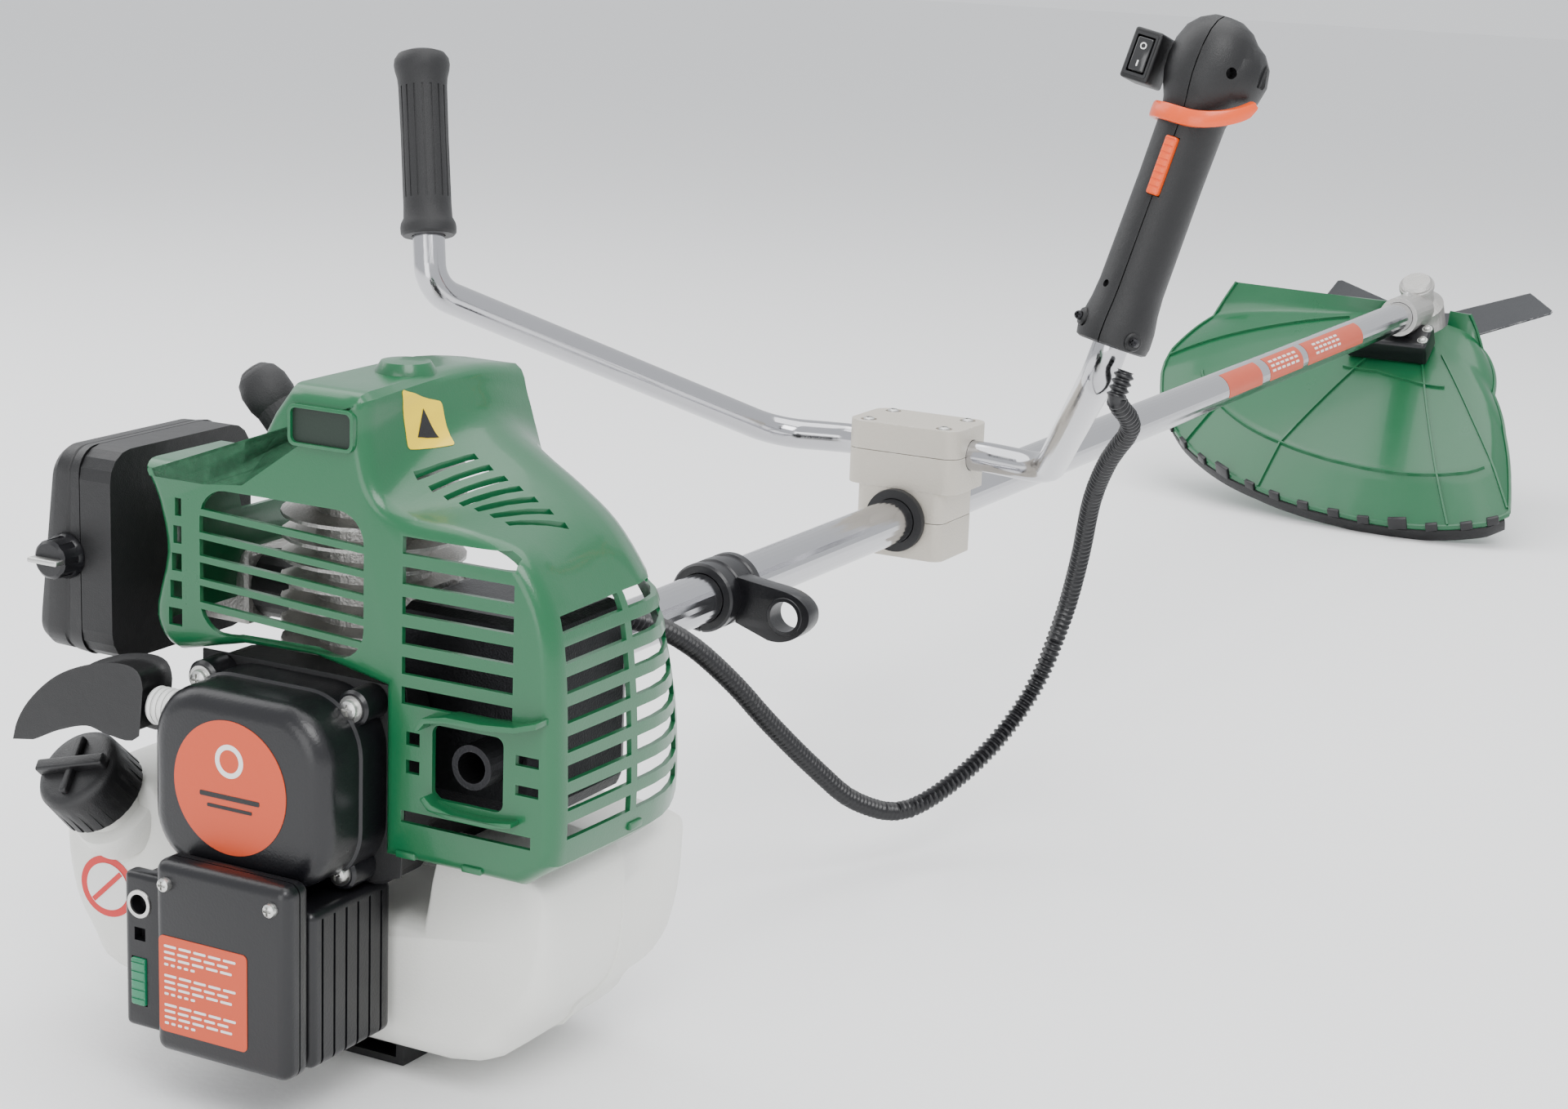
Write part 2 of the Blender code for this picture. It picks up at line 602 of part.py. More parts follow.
def filter_group():
    side = Matrix.Rotation(math.radians(90), 4, "Z") @ Matrix.Rotation(math.radians(90), 4, "X")
    outline = rounded_box(FILTER_REAR, FILTER_FRONT, FILTER_LOW, FILTER_HIGH, 0.014)
    wall = 0.0025
    inner = rounded_box(FILTER_REAR + wall, FILTER_FRONT - wall, FILTER_LOW + wall, FILTER_HIGH - wall,
                        0.012)
    cover = plate("air_filter_cover", [outline], -0.139, FILTER_SPLIT, side, BLACK)
    slope = Matrix.Translation((-0.139, 0, FILTER_LOW)) @ Matrix.Rotation(math.radians(9), 4, "Y")
    face = block("filter_slope", (-0.06, -0.3, -0.05), (0.0, 0.3, 0.16), turn=slope)
    inside = plate("filter_inside", [inner], -0.1365, FILTER_SPLIT + 0.01, side)
    slope_in = Matrix.Translation((-0.1363, 0, FILTER_LOW)) @ Matrix.Rotation(math.radians(9), 4, "Y")
    face_in = block("filter_slope_in", (-0.06, -0.3, -0.05), (0.0, 0.3, 0.16), turn=slope_in)
    cut(inside, face_in)
    cut(cover, face, inside)
    bolt_at = (-0.114, 0, SHAFT_Z + 0.081)
    cut(cover, bar("knob_hole", (bolt_at[0], FILTER_REAR - 0.01, bolt_at[2]),
                   (bolt_at[0], FILTER_REAR + 0.01, bolt_at[2]), 0.0033))
    base = plate("air_filter_base", [outline], FILTER_SPLIT + GAP, -0.0883, side, BLACK)
    room = plate("base_room", [inner], FILTER_SPLIT - 0.01, -0.0915, side)
    mouth = bar("base_hole", (-0.12, CYL_Y, PORT_Z), (-0.07, CYL_Y, PORT_Z), 0.008)
    cut(base, room, mouth)
    pad = rounded_box(FILTER_REAR + 0.010, FILTER_FRONT - 0.006, FILTER_LOW + 0.006, FILTER_HIGH - 0.006,
                      0.010)
    plate("air_filter_element", [pad], -0.1150, FILTER_SPLIT + 0.004, side, FOAM)
    rear = FILTER_REAR - GAP
    knob = bar("filter_knob", (bolt_at[0], rear, bolt_at[2]), (bolt_at[0], rear - 0.011, bolt_at[2]), 0.007,
               BLACK, 20)
    join(knob, bar("knob_screw", (bolt_at[0], rear - 0.001, bolt_at[2]),
                   (bolt_at[0], rear + 0.007, bolt_at[2]), 0.003, sides=12))
    put_origin(knob, (bolt_at[0], rear, bolt_at[2]))


# ---------------------------------------------------------------- engine outside
# The cover's outline seen from behind, anticlockwise from the foot of its column. Each row is a point
# of X and height over the shaft: at the rear, at the crest and at the front edge.
COVER_ROWS = (
    ((0.057, -0.029), (0.057, -0.029), (0.057, -0.029)),
    ((0.128, -0.029), (0.132, -0.029), (0.122, -0.030)),
    ((0.144, -0.018), (0.146, -0.018), (0.131, -0.018)),
    ((0.145, 0.030), (0.147, 0.030), (0.129, 0.028)),
    ((0.142, 0.080), (0.142, 0.077), (0.118, 0.062)),
    ((0.132, 0.105), (0.134, 0.094), (0.107, 0.080)),
    ((0.118, 0.117), (0.119, 0.113), (0.090, 0.101)),
    ((0.095, 0.122), (0.100, 0.127), (0.071, 0.115)),
    ((0.067, 0.124), (0.079, 0.139), (0.058, 0.125)),
    ((0.053, 0.133), (0.056, 0.152), (0.052, 0.140)),
    ((0.047, 0.155), (0.049, 0.165), (0.047, 0.155)),
    ((0.044, 0.173), (0.042, 0.174), (0.040, 0.169)),
    ((0.008, 0.173), (0.010, 0.174), (0.012, 0.169)),
    ((-0.002, 0.160), (0.000, 0.162), (0.002, 0.158)),
    ((-0.012, 0.142), (-0.012, 0.145), (-0.012, 0.143)),
    ((-0.020, 0.132), (-0.020, 0.134), (-0.020, 0.134)),
    ((-0.038, 0.130), (-0.038, 0.130), (-0.038, 0.130)),
    ((-0.072, 0.130), (-0.072, 0.130), (-0.072, 0.130)),
    ((-0.066, 0.112), (-0.066, 0.112), (-0.066, 0.112)),
    ((-0.062, 0.090), (-0.062, 0.090), (-0.062, 0.090)),
    ((-0.068, 0.060), (-0.068, 0.060), (-0.068, 0.060)),
    ((-0.054, 0.045), (-0.054, 0.045), (-0.054, 0.045)),
    ((-0.020, 0.053), (-0.020, 0.053), (-0.020, 0.053)),
    ((0.020, 0.054), (0.020, 0.054), (0.020, 0.054)),
    ((0.057, 0.047), (0.057, 0.047), (0.057, 0.047)),
)
COVER_CREST = -0.010


def inset(outline, distance):
    """The outline moved inwards by this distance, corner by corner; it runs anticlockwise."""
    moved = []
    count = len(outline)
    for i in range(count):
        before, at, after = (Vector(outline[k % count]) for k in (i - 1, i, i + 1))
        a = (at - before).normalized()
        b = (after - at).normalized()
        inwards = Vector((-a.y - b.y, a.x + b.x)).normalized()
        lean = max(0.4, inwards.dot(Vector((-a.y, a.x))))
        moved.append(tuple(at + inwards * distance / lean))
    return moved


def loft(name, sections, look=None):
    """A closed body through outlines of X and Z, each with its own Y, rear first."""
    shape = bmesh.new()
    rings = [[shape.verts.new((x, y, z)) for x, z in outline] for outline, y in sections]
    shape.faces.new(rings[0])
    shape.faces.new(rings[-1])
    for low, high in zip(rings, rings[1:]):
        for i in range(len(low)):
            j = (i + 1) % len(low)
            shape.faces.new((low[i], high[i], high[j], low[j]))
    bmesh.ops.recalc_face_normals(shape, faces=shape.faces)
    return keep(mesh_object(name, shape), look)


def engine_cover():
    """A shell open at the front, between its own outside and the same shape a wall smaller."""
    rear, crest, front = ([(row[k][0], SHAFT_Z + row[k][1]) for row in COVER_ROWS] for k in range(3))
    corner = 0.010
    wall = COVER_WALL
    sections = [(inset(rear, 0.005), COVER_REAR), (inset(rear, 0.0015), COVER_REAR + corner * 0.35)]
    sections += [(rear, COVER_REAR + corner), (crest, COVER_CREST), (front, COVER_FRONT)]
    shell = loft("engine_cover", sections, GREEN)
    deep = [(inset(rear, 0.005 + wall), COVER_REAR + wall)]
    deep += [(inset(rear, 0.0015 + wall), COVER_REAR + wall + corner * 0.35),
             (inset(rear, wall), COVER_REAR + wall + corner)]
    deep += [(inset(crest, wall), COVER_CREST), (inset(front, wall), COVER_FRONT),
             (inset(front, wall), COVER_FRONT + 0.01)]
    cut(shell, loft("cover_room", deep))
    behind = COVER_REAR - 0.01
    inside = COVER_REAR + COVER_WALL + 0.003
    cutters = [
        block("under_left", (-0.10, COVER_REAR + 0.0065, SHAFT_Z - 0.06), (0.0620, 0.06, SHAFT_Z + 0.0575)),
        block("left_side", (-0.10, COVER_REAR + 0.0065, SHAFT_Z + 0.03), (-0.0480, 0.06, SHAFT_Z + 0.1265)),
        block("boot_gap", (-0.08, CYL_Y - 0.019, SHAFT_Z + 0.10), (-0.0035, 0.06, SHAFT_Z + 0.20)),
        block("under_right", (0.05, COVER_REAR + 0.010, SHAFT_Z - 0.045), (0.1405, 0.06, SHAFT_Z - 0.0240)),
        block("duct", (0.013, behind, SHAFT_Z + 0.153), (0.041, inside, SHAFT_Z + 0.169)),
        block("exhaust_opening", (0.082, behind, SHAFT_Z + 0.002), (0.118, inside, SHAFT_Z + 0.034)),
    ]
    window = rounded_box(-0.040, 0.048, SHAFT_Z + 0.057, SHAFT_Z + 0.122, 0.014)
    opening = rear_plate("window", window, behind, inside)
    for i in range(5):
        z = SHAFT_Z + 0.0655 + i * 0.0105
        cut(opening, block("bar_%d" % i, (-0.05, behind - 0.01, z), (0.06, inside + 0.01, z + 0.003)))
    cutters.append(opening)
    slots = []
    for i in range(5):
        z = SHAFT_Z + 0.0583 + i * 0.0125
        slots.append(((-0.060, behind, z), (-0.0505, inside, z + 0.0075)))
    for i in range(6):
        z = SHAFT_Z + 0.0424 + i * 0.0131
        slots.append(((0.068, behind, z), (0.124, inside, z + 0.0076)))
    for i in range(8):
        z = SHAFT_Z - 0.0067 + i * 0.0127
        slots.append(((0.115, -0.066, z), (0.160, 0.024, z + 0.0073)))
    cutters.append(blocks("cover_slots", slots))
    return cut(shell, *cutters)


def recoil_group():
    wall = 0.003
    outline = rounded_box(-0.041, 0.053, SHAFT_Z - 0.041, SHAFT_Z + 0.043, 0.026)
    steps = ((0.011, 0.0), (0.004, 0.0030), (0.001, 0.009), (0.0, 0.020), (0.0, RECOIL_FRONT - RECOIL_REAR))
    shell = loft("recoil_housing", [(inset(outline, i), RECOIL_REAR + y) for i, y in steps], GLOSS)
    room = [(inset(outline, i + wall), RECOIL_REAR + y + wall) for i, y in steps]
    places = ((0.047, 0.038), (0.041, -0.037), (-0.034, 0.038))
    for i, (x, z) in enumerate(places):
        join(shell, bar("ear_%d" % i, (x, RECOIL_FRONT - 0.016, SHAFT_Z + z),
                        (x, RECOIL_FRONT, SHAFT_Z + z), 0.008, sides=20))
    cut(shell, loft("recoil_room", room))
    post = bar("pulley_post", (0, RECOIL_REAR + 0.001, SHAFT_Z), (0, RECOIL_REAR + 0.022, SHAFT_Z), CRANK_R)
    join(shell, post)
    guide = bar("rope_guide", (-0.060, -0.102, SHAFT_Z + 0.024), (-0.030, -0.102, SHAFT_Z + 0.024), 0.0045,
                sides=20)
    cut(shell, guide)
    pulley_high = -RECOIL_REAR - 0.006
    pulley = [(0.030, pulley_high), (0.030, pulley_high - 0.003), (0.026, pulley_high - 0.004),
              (0.026, pulley_high - 0.009)]
    pulley += [(0.030, pulley_high - 0.010), (0.030, pulley_high - 0.013),
               (CRANK_R + GAP, pulley_high - 0.013)]
    pulley += [(CRANK_R + GAP, pulley_high)]
    put_origin(turned("recoil_pulley", pulley, CRANK, -Y, BLACK, 28, ring=True),
               (0, RECOIL_REAR + 0.013, SHAFT_Z))


PULL_STEM = Vector((-0.0320, -0.102, SHAFT_Z + 0.024))


def pull_handle():
    """A curved grip with a stem that enters the recoil housing's rope guide."""
    arc = [(-0.0560, 0.034), (-0.0610, 0.040), (-0.0800, 0.0375), (-0.1000, 0.0290), (-0.1160, 0.0150),
           (-0.1235, 0.0020)]
    arc += [(-0.1170, 0.0030), (-0.1020, 0.0100), (-0.0850, 0.0150), (-0.0720, 0.0130), (-0.0580, 0.0140)]
    outline = [(x, SHAFT_Z + z) for x, z in arc]
    grip = rear_plate("pull_handle", outline, -0.1130, -0.0930, BLACK, 0.004)
    stem = bar("pull_stem", (-0.070, PULL_STEM.y, PULL_STEM.z), PULL_STEM, 0.0042, sides=16)
    join(grip, stem)
    put_origin(grip, PULL_STEM)


BOX_LEFT = -0.047
BOX_RIGHT = 0.048
BOX_REAR = -0.1245
BOX_FRONT = -0.0665
BOX_LOW = SHAFT_Z - 0.118
BOX_HIGH = SHAFT_Z - 0.0462
LID_REAR = -0.142
STRIP_REAR = -0.134
LID_LEFT = -0.0240


def battery_group():
    wall = 0.0025
    case = block("battery_box", (BOX_LEFT, BOX_REAR, BOX_LOW), (BOX_RIGHT, BOX_FRONT, BOX_HIGH), BLACK,
                 0.004)
    room = block("box_room", (BOX_LEFT + wall, BOX_REAR - 0.01, BOX_LOW + wall),
                 (BOX_RIGHT - wall, BOX_FRONT - wall, BOX_HIGH - wall))
    cut(case, room)
    inset = wall + 0.001
    block("battery", (LID_LEFT + 0.004, BOX_REAR + 0.002, BOX_LOW + inset),
          (BOX_RIGHT - inset, BOX_FRONT - inset - 0.001, BOX_HIGH - 0.012), LAMP, 0.001)
    front = BOX_REAR - GAP
    high = SHAFT_Z - 0.030
    lid = block("battery_lid", (LID_LEFT, LID_REAR, BOX_LOW), (BOX_RIGHT, front, high), GLOSS, 0.005)
    cut(lid, block("lid_room", (LID_LEFT + wall, LID_REAR + 0.003, BOX_LOW + wall),
                   (BOX_RIGHT - wall, front + 0.01, BOX_HIGH - wall)))
    strip = block("switch_strip", (BOX_LEFT, STRIP_REAR, BOX_LOW + 0.004),
                  (LID_LEFT - GAP, front, SHAFT_Z - 0.042), BLACK, 0.003)
    button = (BOX_LEFT + 0.0045, SHAFT_Z - 0.103, BOX_LEFT + 0.0125, SHAFT_Z - 0.081)
    cut(strip, block("button_hole", (button[0] - GAP, STRIP_REAR - 0.01, button[1] - GAP),
                     (button[2] + GAP, front - 0.002, button[3] + GAP)))
    socket = (BOX_LEFT + 0.009, SHAFT_Z - 0.056)
    cut(strip, bar("socket", (socket[0], STRIP_REAR - 0.01, socket[1]),
                   (socket[0], STRIP_REAR + 0.006, socket[1]), 0.0045, sides=20))
    cut(strip, block("square_hole", (socket[0] - 0.003, STRIP_REAR - 0.01, SHAFT_Z - 0.073),
                     (socket[0] + 0.003, STRIP_REAR + 0.005, SHAFT_Z - 0.067)))
    push = block("start_button", (button[0], STRIP_REAR - 0.0015, button[1]),
                 (button[2], STRIP_REAR + 0.0045, button[3]), LAMP, 0.001)
    put_origin(push, ((button[0] + button[2]) / 2, STRIP_REAR, (button[1] + button[3]) / 2))


TANK_LOW = SHAFT_Z - 0.133
NECK = Vector((-0.1140, -0.0580, SHAFT_Z - 0.0480))
NECK_WAY = Vector((-0.11, -0.69, 0.72)).normalized()
NECK_R = 0.016


def tank_group():
    shape = ((-0.147, -0.080), (-0.144, -0.046), (-0.130, -0.030), (-0.090, -0.030), (-0.066, -0.066),
             (0.058, -0.066))
    shape += ((0.066, -0.034), (0.118, -0.034), (0.127, -0.050), (0.124, -0.090), (0.106, -0.113),
              (0.072, -0.133), (-0.100, -0.133), (-0.136, -0.110))
    wall = 0.003
    outline = [(x, SHAFT_Z + z) for x, z in reversed(shape)]
    middle = Vector((-0.012, -0.095))
    inner = []
    for x, z in reversed(shape):
        away = Vector((x, z)) - middle
        inner.append((x - wall * (1 if away.x > 0 else -1), SHAFT_Z + z - wall * (1 if away.y > 0 else -1)))
    body = rear_plate("fuel_tank", outline, -0.062, 0.060, TANK, 0.012, 2)
    neck = bar("neck", NECK - NECK_WAY * 0.012, NECK + NECK_WAY * 0.030, NECK_R)
    join(body, neck)
    cut(body, rear_plate("tank_inside", inner, -0.059, 0.057, bevel=0.009, segments=1))
    cut(body, bar("neck_bore", NECK - NECK_WAY * 0.014, NECK + NECK_WAY * 0.040, NECK_R - 0.003))
    low = 0.0145
    high = 0.0375
    rim = NECK_R + GAP
    cup = [(0, high), (0.0175, high), (0.0215, high - 0.005), (0.0220, low), (rim, low),
           (rim, high - 0.0045), (0, high - 0.0045)]
    cap = turned("fuel_cap", cup, NECK, NECK_WAY, BLACK, 28)
    frame = along(NECK, NECK_WAY)
    for i in range(2):
        cross = frame @ Matrix.Rotation(math.radians(90 * i + 20), 4, "Z")
        join(cap, block("cap_rib_%d" % i, (-0.0175, -0.0025, high - 0.001), (0.0175, 0.0025, high + 0.005),
                        turn=cross))
    put_origin(cap, NECK)
    return body


def tank_stand():
    """A bent strap: a foot flat on the ground, a bed under the tank and an upright to the fan housing."""
    half = FOOT_X
    top = SHAFT_Z - FAN_HOUSING_R - 0.0008
    bed = TANK_LOW - GAP
    front = 0.0615
    sole = [(y, -y * math.tan(LEAN)) for y in (-FOOT_Y, FOOT_Y)]
    outline = [*sole, (FOOT_Y, 0.005), (0.0695, 0.005), (0.0695, top), (front, top), (front, bed),
               (-FOOT_Y, bed)]
    side = Matrix.Rotation(math.radians(90), 4, "Z") @ Matrix.Rotation(math.radians(90), 4, "X")
    stand = plate("tank_stand", [outline], -half, half, side, BLACK)
    hollow = block("stand_room", (-half + 0.004, -FOOT_Y + 0.004, 0.0045),
                   (half - 0.004, FOOT_Y - 0.004, bed - 0.004))
    slot = block("stand_slot", (-half + 0.004, -FOOT_Y - 0.01, 0.0045), (half - 0.004, 0.0, bed - 0.004))
    return cut(stand, hollow, slot)


# ---------------------------------------------------------------- shaft and gear head
def shaft_group():
    tube("shaft_tube", CRANK, Y, TUBE_R - TUBE_WALL, TUBE_R, TUBE_START, TUBE_END, CHROME, 32)
    rod = bar("drive_shaft", (0, 0.0745, SHAFT_Z), (0, HEAD_Y - PINION_R - 0.0015, SHAFT_Z), DRIVE_R, STEEL,
              16)
    put_origin(rod, CRANK)
    outer = TUBE_R - TUBE_WALL - GAP
    tube("shaft_liner", CRANK, Y, DRIVE_R + GAP, outer, LINER_Y, LINER_Y + LINER_LENGTH, BLACK, 20)




def gear_head():
    top = [(0, 0.034), (0.013, 0.034), (0.0155, 0.0315), (0.0155, 0.012), (CASE_R, 0.005),
           (CASE_R, CASE_LOW)]
    top += [(0, CASE_LOW)]
    case = turned("gear_case", top, HEAD, HEAD_UP, CREAM, 32)
    sleeve_start = HEAD_Y - 0.070
    sleeve = bar("sleeve", (0, sleeve_start, SHAFT_Z), (0, HEAD_Y - 0.012, SHAFT_Z), SLEEVE_R, sides=28)
    join(case, sleeve)
    room = [(0, 0.012), (0.012, 0.010), (0.0185, 0.004), (0.0185, -0.0140), (0.0150, -0.0140)]
    room += [(0.0150, CASE_LOW - 0.01), (0, CASE_LOW - 0.01)]
    cut(case, turned("case_room", room, HEAD, HEAD_UP, steps=32))
    cut(case, bar("socket_bore", (0, sleeve_start - 0.01, SHAFT_Z), (0, TUBE_END + GAP, SHAFT_Z),
                  TUBE_R + GAP, sides=32))
    cut(case, bar("pinion_room", (0, TUBE_END - 0.001, SHAFT_Z), (0, HEAD_Y - 0.004, SHAFT_Z),
                  PINION_R + 0.001, sides=28))
    near = HEAD_Y - 0.0052
    far = HEAD_Y - 0.0105
    pinion = bar("bevel_pinion", (0, far, SHAFT_Z), (0, near, SHAFT_Z), PINION_R - 0.0007, STEEL, 24,
                 0.0048)
    tail = bar("pinion_tail", (0, far - 0.010, SHAFT_Z), (0, far + 0.0001, SHAFT_Z), 0.0075, sides=24)
    seat = bar("pinion_bore", (0, far - 0.02, SHAFT_Z), (0, far - 0.0004, SHAFT_Z), DRIVE_R + GAP, sides=16)
    join(pinion, tail)
    cut(pinion, seat)
    put_origin(pinion, HEAD)
    gear = [(0, -0.0070), (0.007, -0.0070), (GEAR_R, -0.0095), (GEAR_R, -0.0115), (0.0065, -0.0125)]
    gear += [(OUTPUT_R, -0.0125), (OUTPUT_R, -0.0500), (0, -0.0500)]
    put_origin(turned("output_shaft", gear, HEAD, HEAD_UP, STEEL, 28), HEAD)
    bearing = [(0.0147, -0.0150), (0.0147, CASE_LOW - GAP), (0.0230, CASE_LOW - GAP), (0.0230, -0.0270)]
    bearing += [(OUTPUT_R + GAP, -0.0270), (OUTPUT_R + GAP, -0.0150)]
    turned("gear_cap", bearing, HEAD, HEAD_UP, CAST, 28, ring=True)


def blade_group():
    top = BLADE_H + BLADE_T / 2
    low = BLADE_H - BLADE_T / 2
    bore = OUTPUT_R + GAP
    flange = [(0.018, -0.0273), (0.021, -0.0285), (0.021, top + GAP), (BLADE_BORE - GAP, top + GAP)]
    flange += [(BLADE_BORE - GAP, low), (bore, low), (bore, -0.0273)]
    put_origin(turned("blade_flange", flange, HEAD, HEAD_UP, STEEL, 28, ring=True), HEAD)
    outline = []
    hub = 0.034
    for i in range(3):
        arm = Matrix.Rotation(BLADE_TURN + math.tau * i / 3, 2)
        half = BLADE_W / 2
        tip = math.sqrt(BLADE_R ** 2 - half ** 2)
        corners = ((hub, -half - 0.003), (tip - 0.003, -half), (tip, -half + 0.003), (tip - 0.010, half),
                   (hub, half + 0.003))
        outline += [tuple(arm @ Vector(c)) for c in corners]
    hole = circle(0, 0, BLADE_BORE)
    put_origin(plate("blade", [outline, hole], low, top, HEAD_FRAME, DARK_STEEL), HEAD)
    base = low - GAP
    cup = [(0.018, base), (0.018, base - 0.0026), (0.014, base - 0.0026), (0.022, base - 0.0096),
           (0.018, base - 0.0116)]
    cup += [(0.0085, base - 0.0051), (bore, base - 0.0051), (bore, base)]
    put_origin(turned("blade_cup", cup, HEAD, HEAD_UP, DARK_STEEL, 28, ring=True), HEAD)
    nut = base - 0.0051 - GAP
    made = bar("blade_nut", HEAD + HEAD_UP * nut, HEAD + HEAD_UP * (nut - 0.0065), 0.0072, STEEL, 6)
    cut(made, bar("nut_bore", HEAD + HEAD_UP * (nut + 0.01), HEAD + HEAD_UP * (nut - 0.02), bore, sides=16))
    put_origin(made, HEAD)


def guard_height(share, turn):
    """How high the guard's top surface stands at this share of the way to its edge."""
    behind = min(1.0, max(0.0, (turn - TRIM_FROM + 14) / 14)) * min(1.0,
                                                                    max(0.0, (TRIM_TO + 10 - turn) / 9))
    ends = max(0.0, (-85 - turn) / 7, (turn - 72) / 12)
    crease = 0.80
    if share <= crease:
        drop = 0.010 * (share / crease) ** 2
    else:
        drop = 0.010 + (GUARD_H - 0.010 - GUARD_RIM_H) * (share - crease) / (1 - crease)
    side = 0.016 * share ** 4 * (1 - ends)
    return GUARD_H - drop * behind - side * (1 - behind) + 0.012 * ends


def guard_group():
    turns = [a for a, _ in GUARD_EDGE]
    shares = (0.0, 0.3, 0.55, 0.70, 0.80, 0.90, 0.97, 1.0)
    shape = bmesh.new()
    rows = []
    for turn in turns:
        edge = guard_radius(turn)
        row = []
        for share in shares:
            radius = GUARD_INNER + (edge - GUARD_INNER) * share
            row.append(shape.verts.new(guard_point(turn, radius, guard_height(share, turn))))
        rows.append(row)
    for first, second in zip(rows, rows[1:]):
        for i in range(len(shares) - 1):
            shape.faces.new((first[i], first[i + 1], second[i + 1], second[i]))
    bmesh.ops.recalc_face_normals(shape, faces=shape.faces)
    if sum(face.normal.z * face.calc_area() for face in shape.faces) < 0:
        bmesh.ops.reverse_faces(shape, faces=shape.faces)
    guard = keep(mesh_object("guard", shape), GREEN)
    wall = guard.modifiers.new("wall", "SOLIDIFY")
    wall.thickness = GUARD_T
    wall.offset = -1.0

    strip = bmesh.new()
    top = GUARD_RIM_H - GUARD_T - GAP
    low = GUARD_RIM_H - TRIM_H
    sections = []
    count = 20
    for i in range(count + 1):
        turn = TRIM_FROM + (TRIM_TO - TRIM_FROM) * i / count
        edge = guard_radius(turn)
        corners = ((edge - 0.008, top), (edge - 0.001, top), (edge - 0.003, low), (edge - 0.007, low))
        sections.append([strip.verts.new(guard_point(turn, r, h)) for r, h in corners])
    for first, second in zip(sections, sections[1:]):
        for i in range(4):
            j = (i + 1) % 4
            strip.faces.new((first[i], first[j], second[j], second[i]))
    strip.faces.new(sections[0])
    strip.faces.new(sections[-1])
    bmesh.ops.recalc_face_normals(strip, faces=strip.faces)
    keep(mesh_object("guard_trim", strip), RUBBER)

    lift = GUARD_H + 0.0005
    body = block("guard_bracket", (-0.050, -0.074, lift), (0.028, -0.040, lift + 0.024), CAST, 0.003,
                 turn=HEAD_FRAME)
    cut(body, bar("bracket_bore", (0, HEAD_Y - 0.3, SHAFT_Z), (0, HEAD_Y, SHAFT_Z), SLEEVE_R + GAP,
                  sides=32))
    return guard


# ---------------------------------------------------------------- handlebar
def mirrored(point):
    return Vector((-point.x, point.y, point.z))


def handlebar_group():
    left_way = mirrored(GRIP_WAY)
    left_bend = mirrored(BEND_2)
    centre_y = BAR_Y
    corners = [left_bend + left_way * (GRIP_END - 0.004), left_bend, mirrored(BEND_1),
               (-0.050, centre_y, BAR_Z)]
    corners += [(0.050, centre_y, BAR_Z), BEND_1, BEND_2, BEND_2 + GRIP_WAY * (HANDLE_START + 0.105)]
    pipe("handlebar", bent_route(corners, (0.020, 0.040, 0.060, 0.060, 0.040, 0.020)), BAR_R, CHROME, 4)
    inner = BAR_R + GAP
    length = GRIP_END - GRIP_START
    hold = BAR_R + 0.0045
    rim = BAR_R + 0.0070
    profile = [(0, length), (BAR_R + 0.003, length - 0.0005), (rim, length - 0.005), (rim, length - 0.012)]
    profile += [(BAR_R + 0.005, length - 0.018), (hold, 0.060), (hold, 0.010), (rim, 0.006), (rim, 0.0)]
    profile += [(inner, 0.0), (inner, length - 0.0035), (0, length - 0.0035)]
    turned("left_grip", profile, left_bend + left_way * GRIP_START, left_way, RUBBER, 28)


CLAMP_HALF_X = 0.038
CLAMP_HALF_Y = 0.025


def bracket_group():
    split = SHAFT_Z
    tube("shaft_bush", CRANK, Y, TUBE_R + GAP, BUSH_R, BAR_Y - 0.029, BAR_Y + 0.029, RUBBER, 32)
    bush = bar("bush_bore", (0, BAR_Y - 0.06, SHAFT_Z), (0, BAR_Y + 0.06, SHAFT_Z), BUSH_R + GAP, sides=32)
    hole = bar("bar_bore", (-0.06, BAR_Y, BAR_Z), (0.06, BAR_Y, BAR_Z), BAR_R + GAP, sides=28)
    low_x = 0.030
    base = block("bracket_base", (-low_x, BAR_Y - CLAMP_HALF_Y, SHAFT_Z - 0.024),
                 (low_x, BAR_Y + CLAMP_HALF_Y, split - GAP / 2), CREAM, 0.005)
    cut(base, bush)
    middle = block("bracket_middle", (-CLAMP_HALF_X, BAR_Y - CLAMP_HALF_Y, split + 0.020),
                   (CLAMP_HALF_X, BAR_Y + CLAMP_HALF_Y, BAR_Z - GAP / 2), CREAM, 0.004)
    join(middle, block("bracket_neck", (-low_x, BAR_Y - CLAMP_HALF_Y, split + GAP / 2),
                       (low_x, BAR_Y + CLAMP_HALF_Y, split + 0.026)))
    cut(middle, bush, hole)
    cap = block("bracket_cap", (-CLAMP_HALF_X, BAR_Y - CLAMP_HALF_Y, BAR_Z + GAP / 2),
                (CLAMP_HALF_X, BAR_Y + CLAMP_HALF_Y, BAR_Z + 0.018), CREAM, 0.005)
    cut(cap, hole)


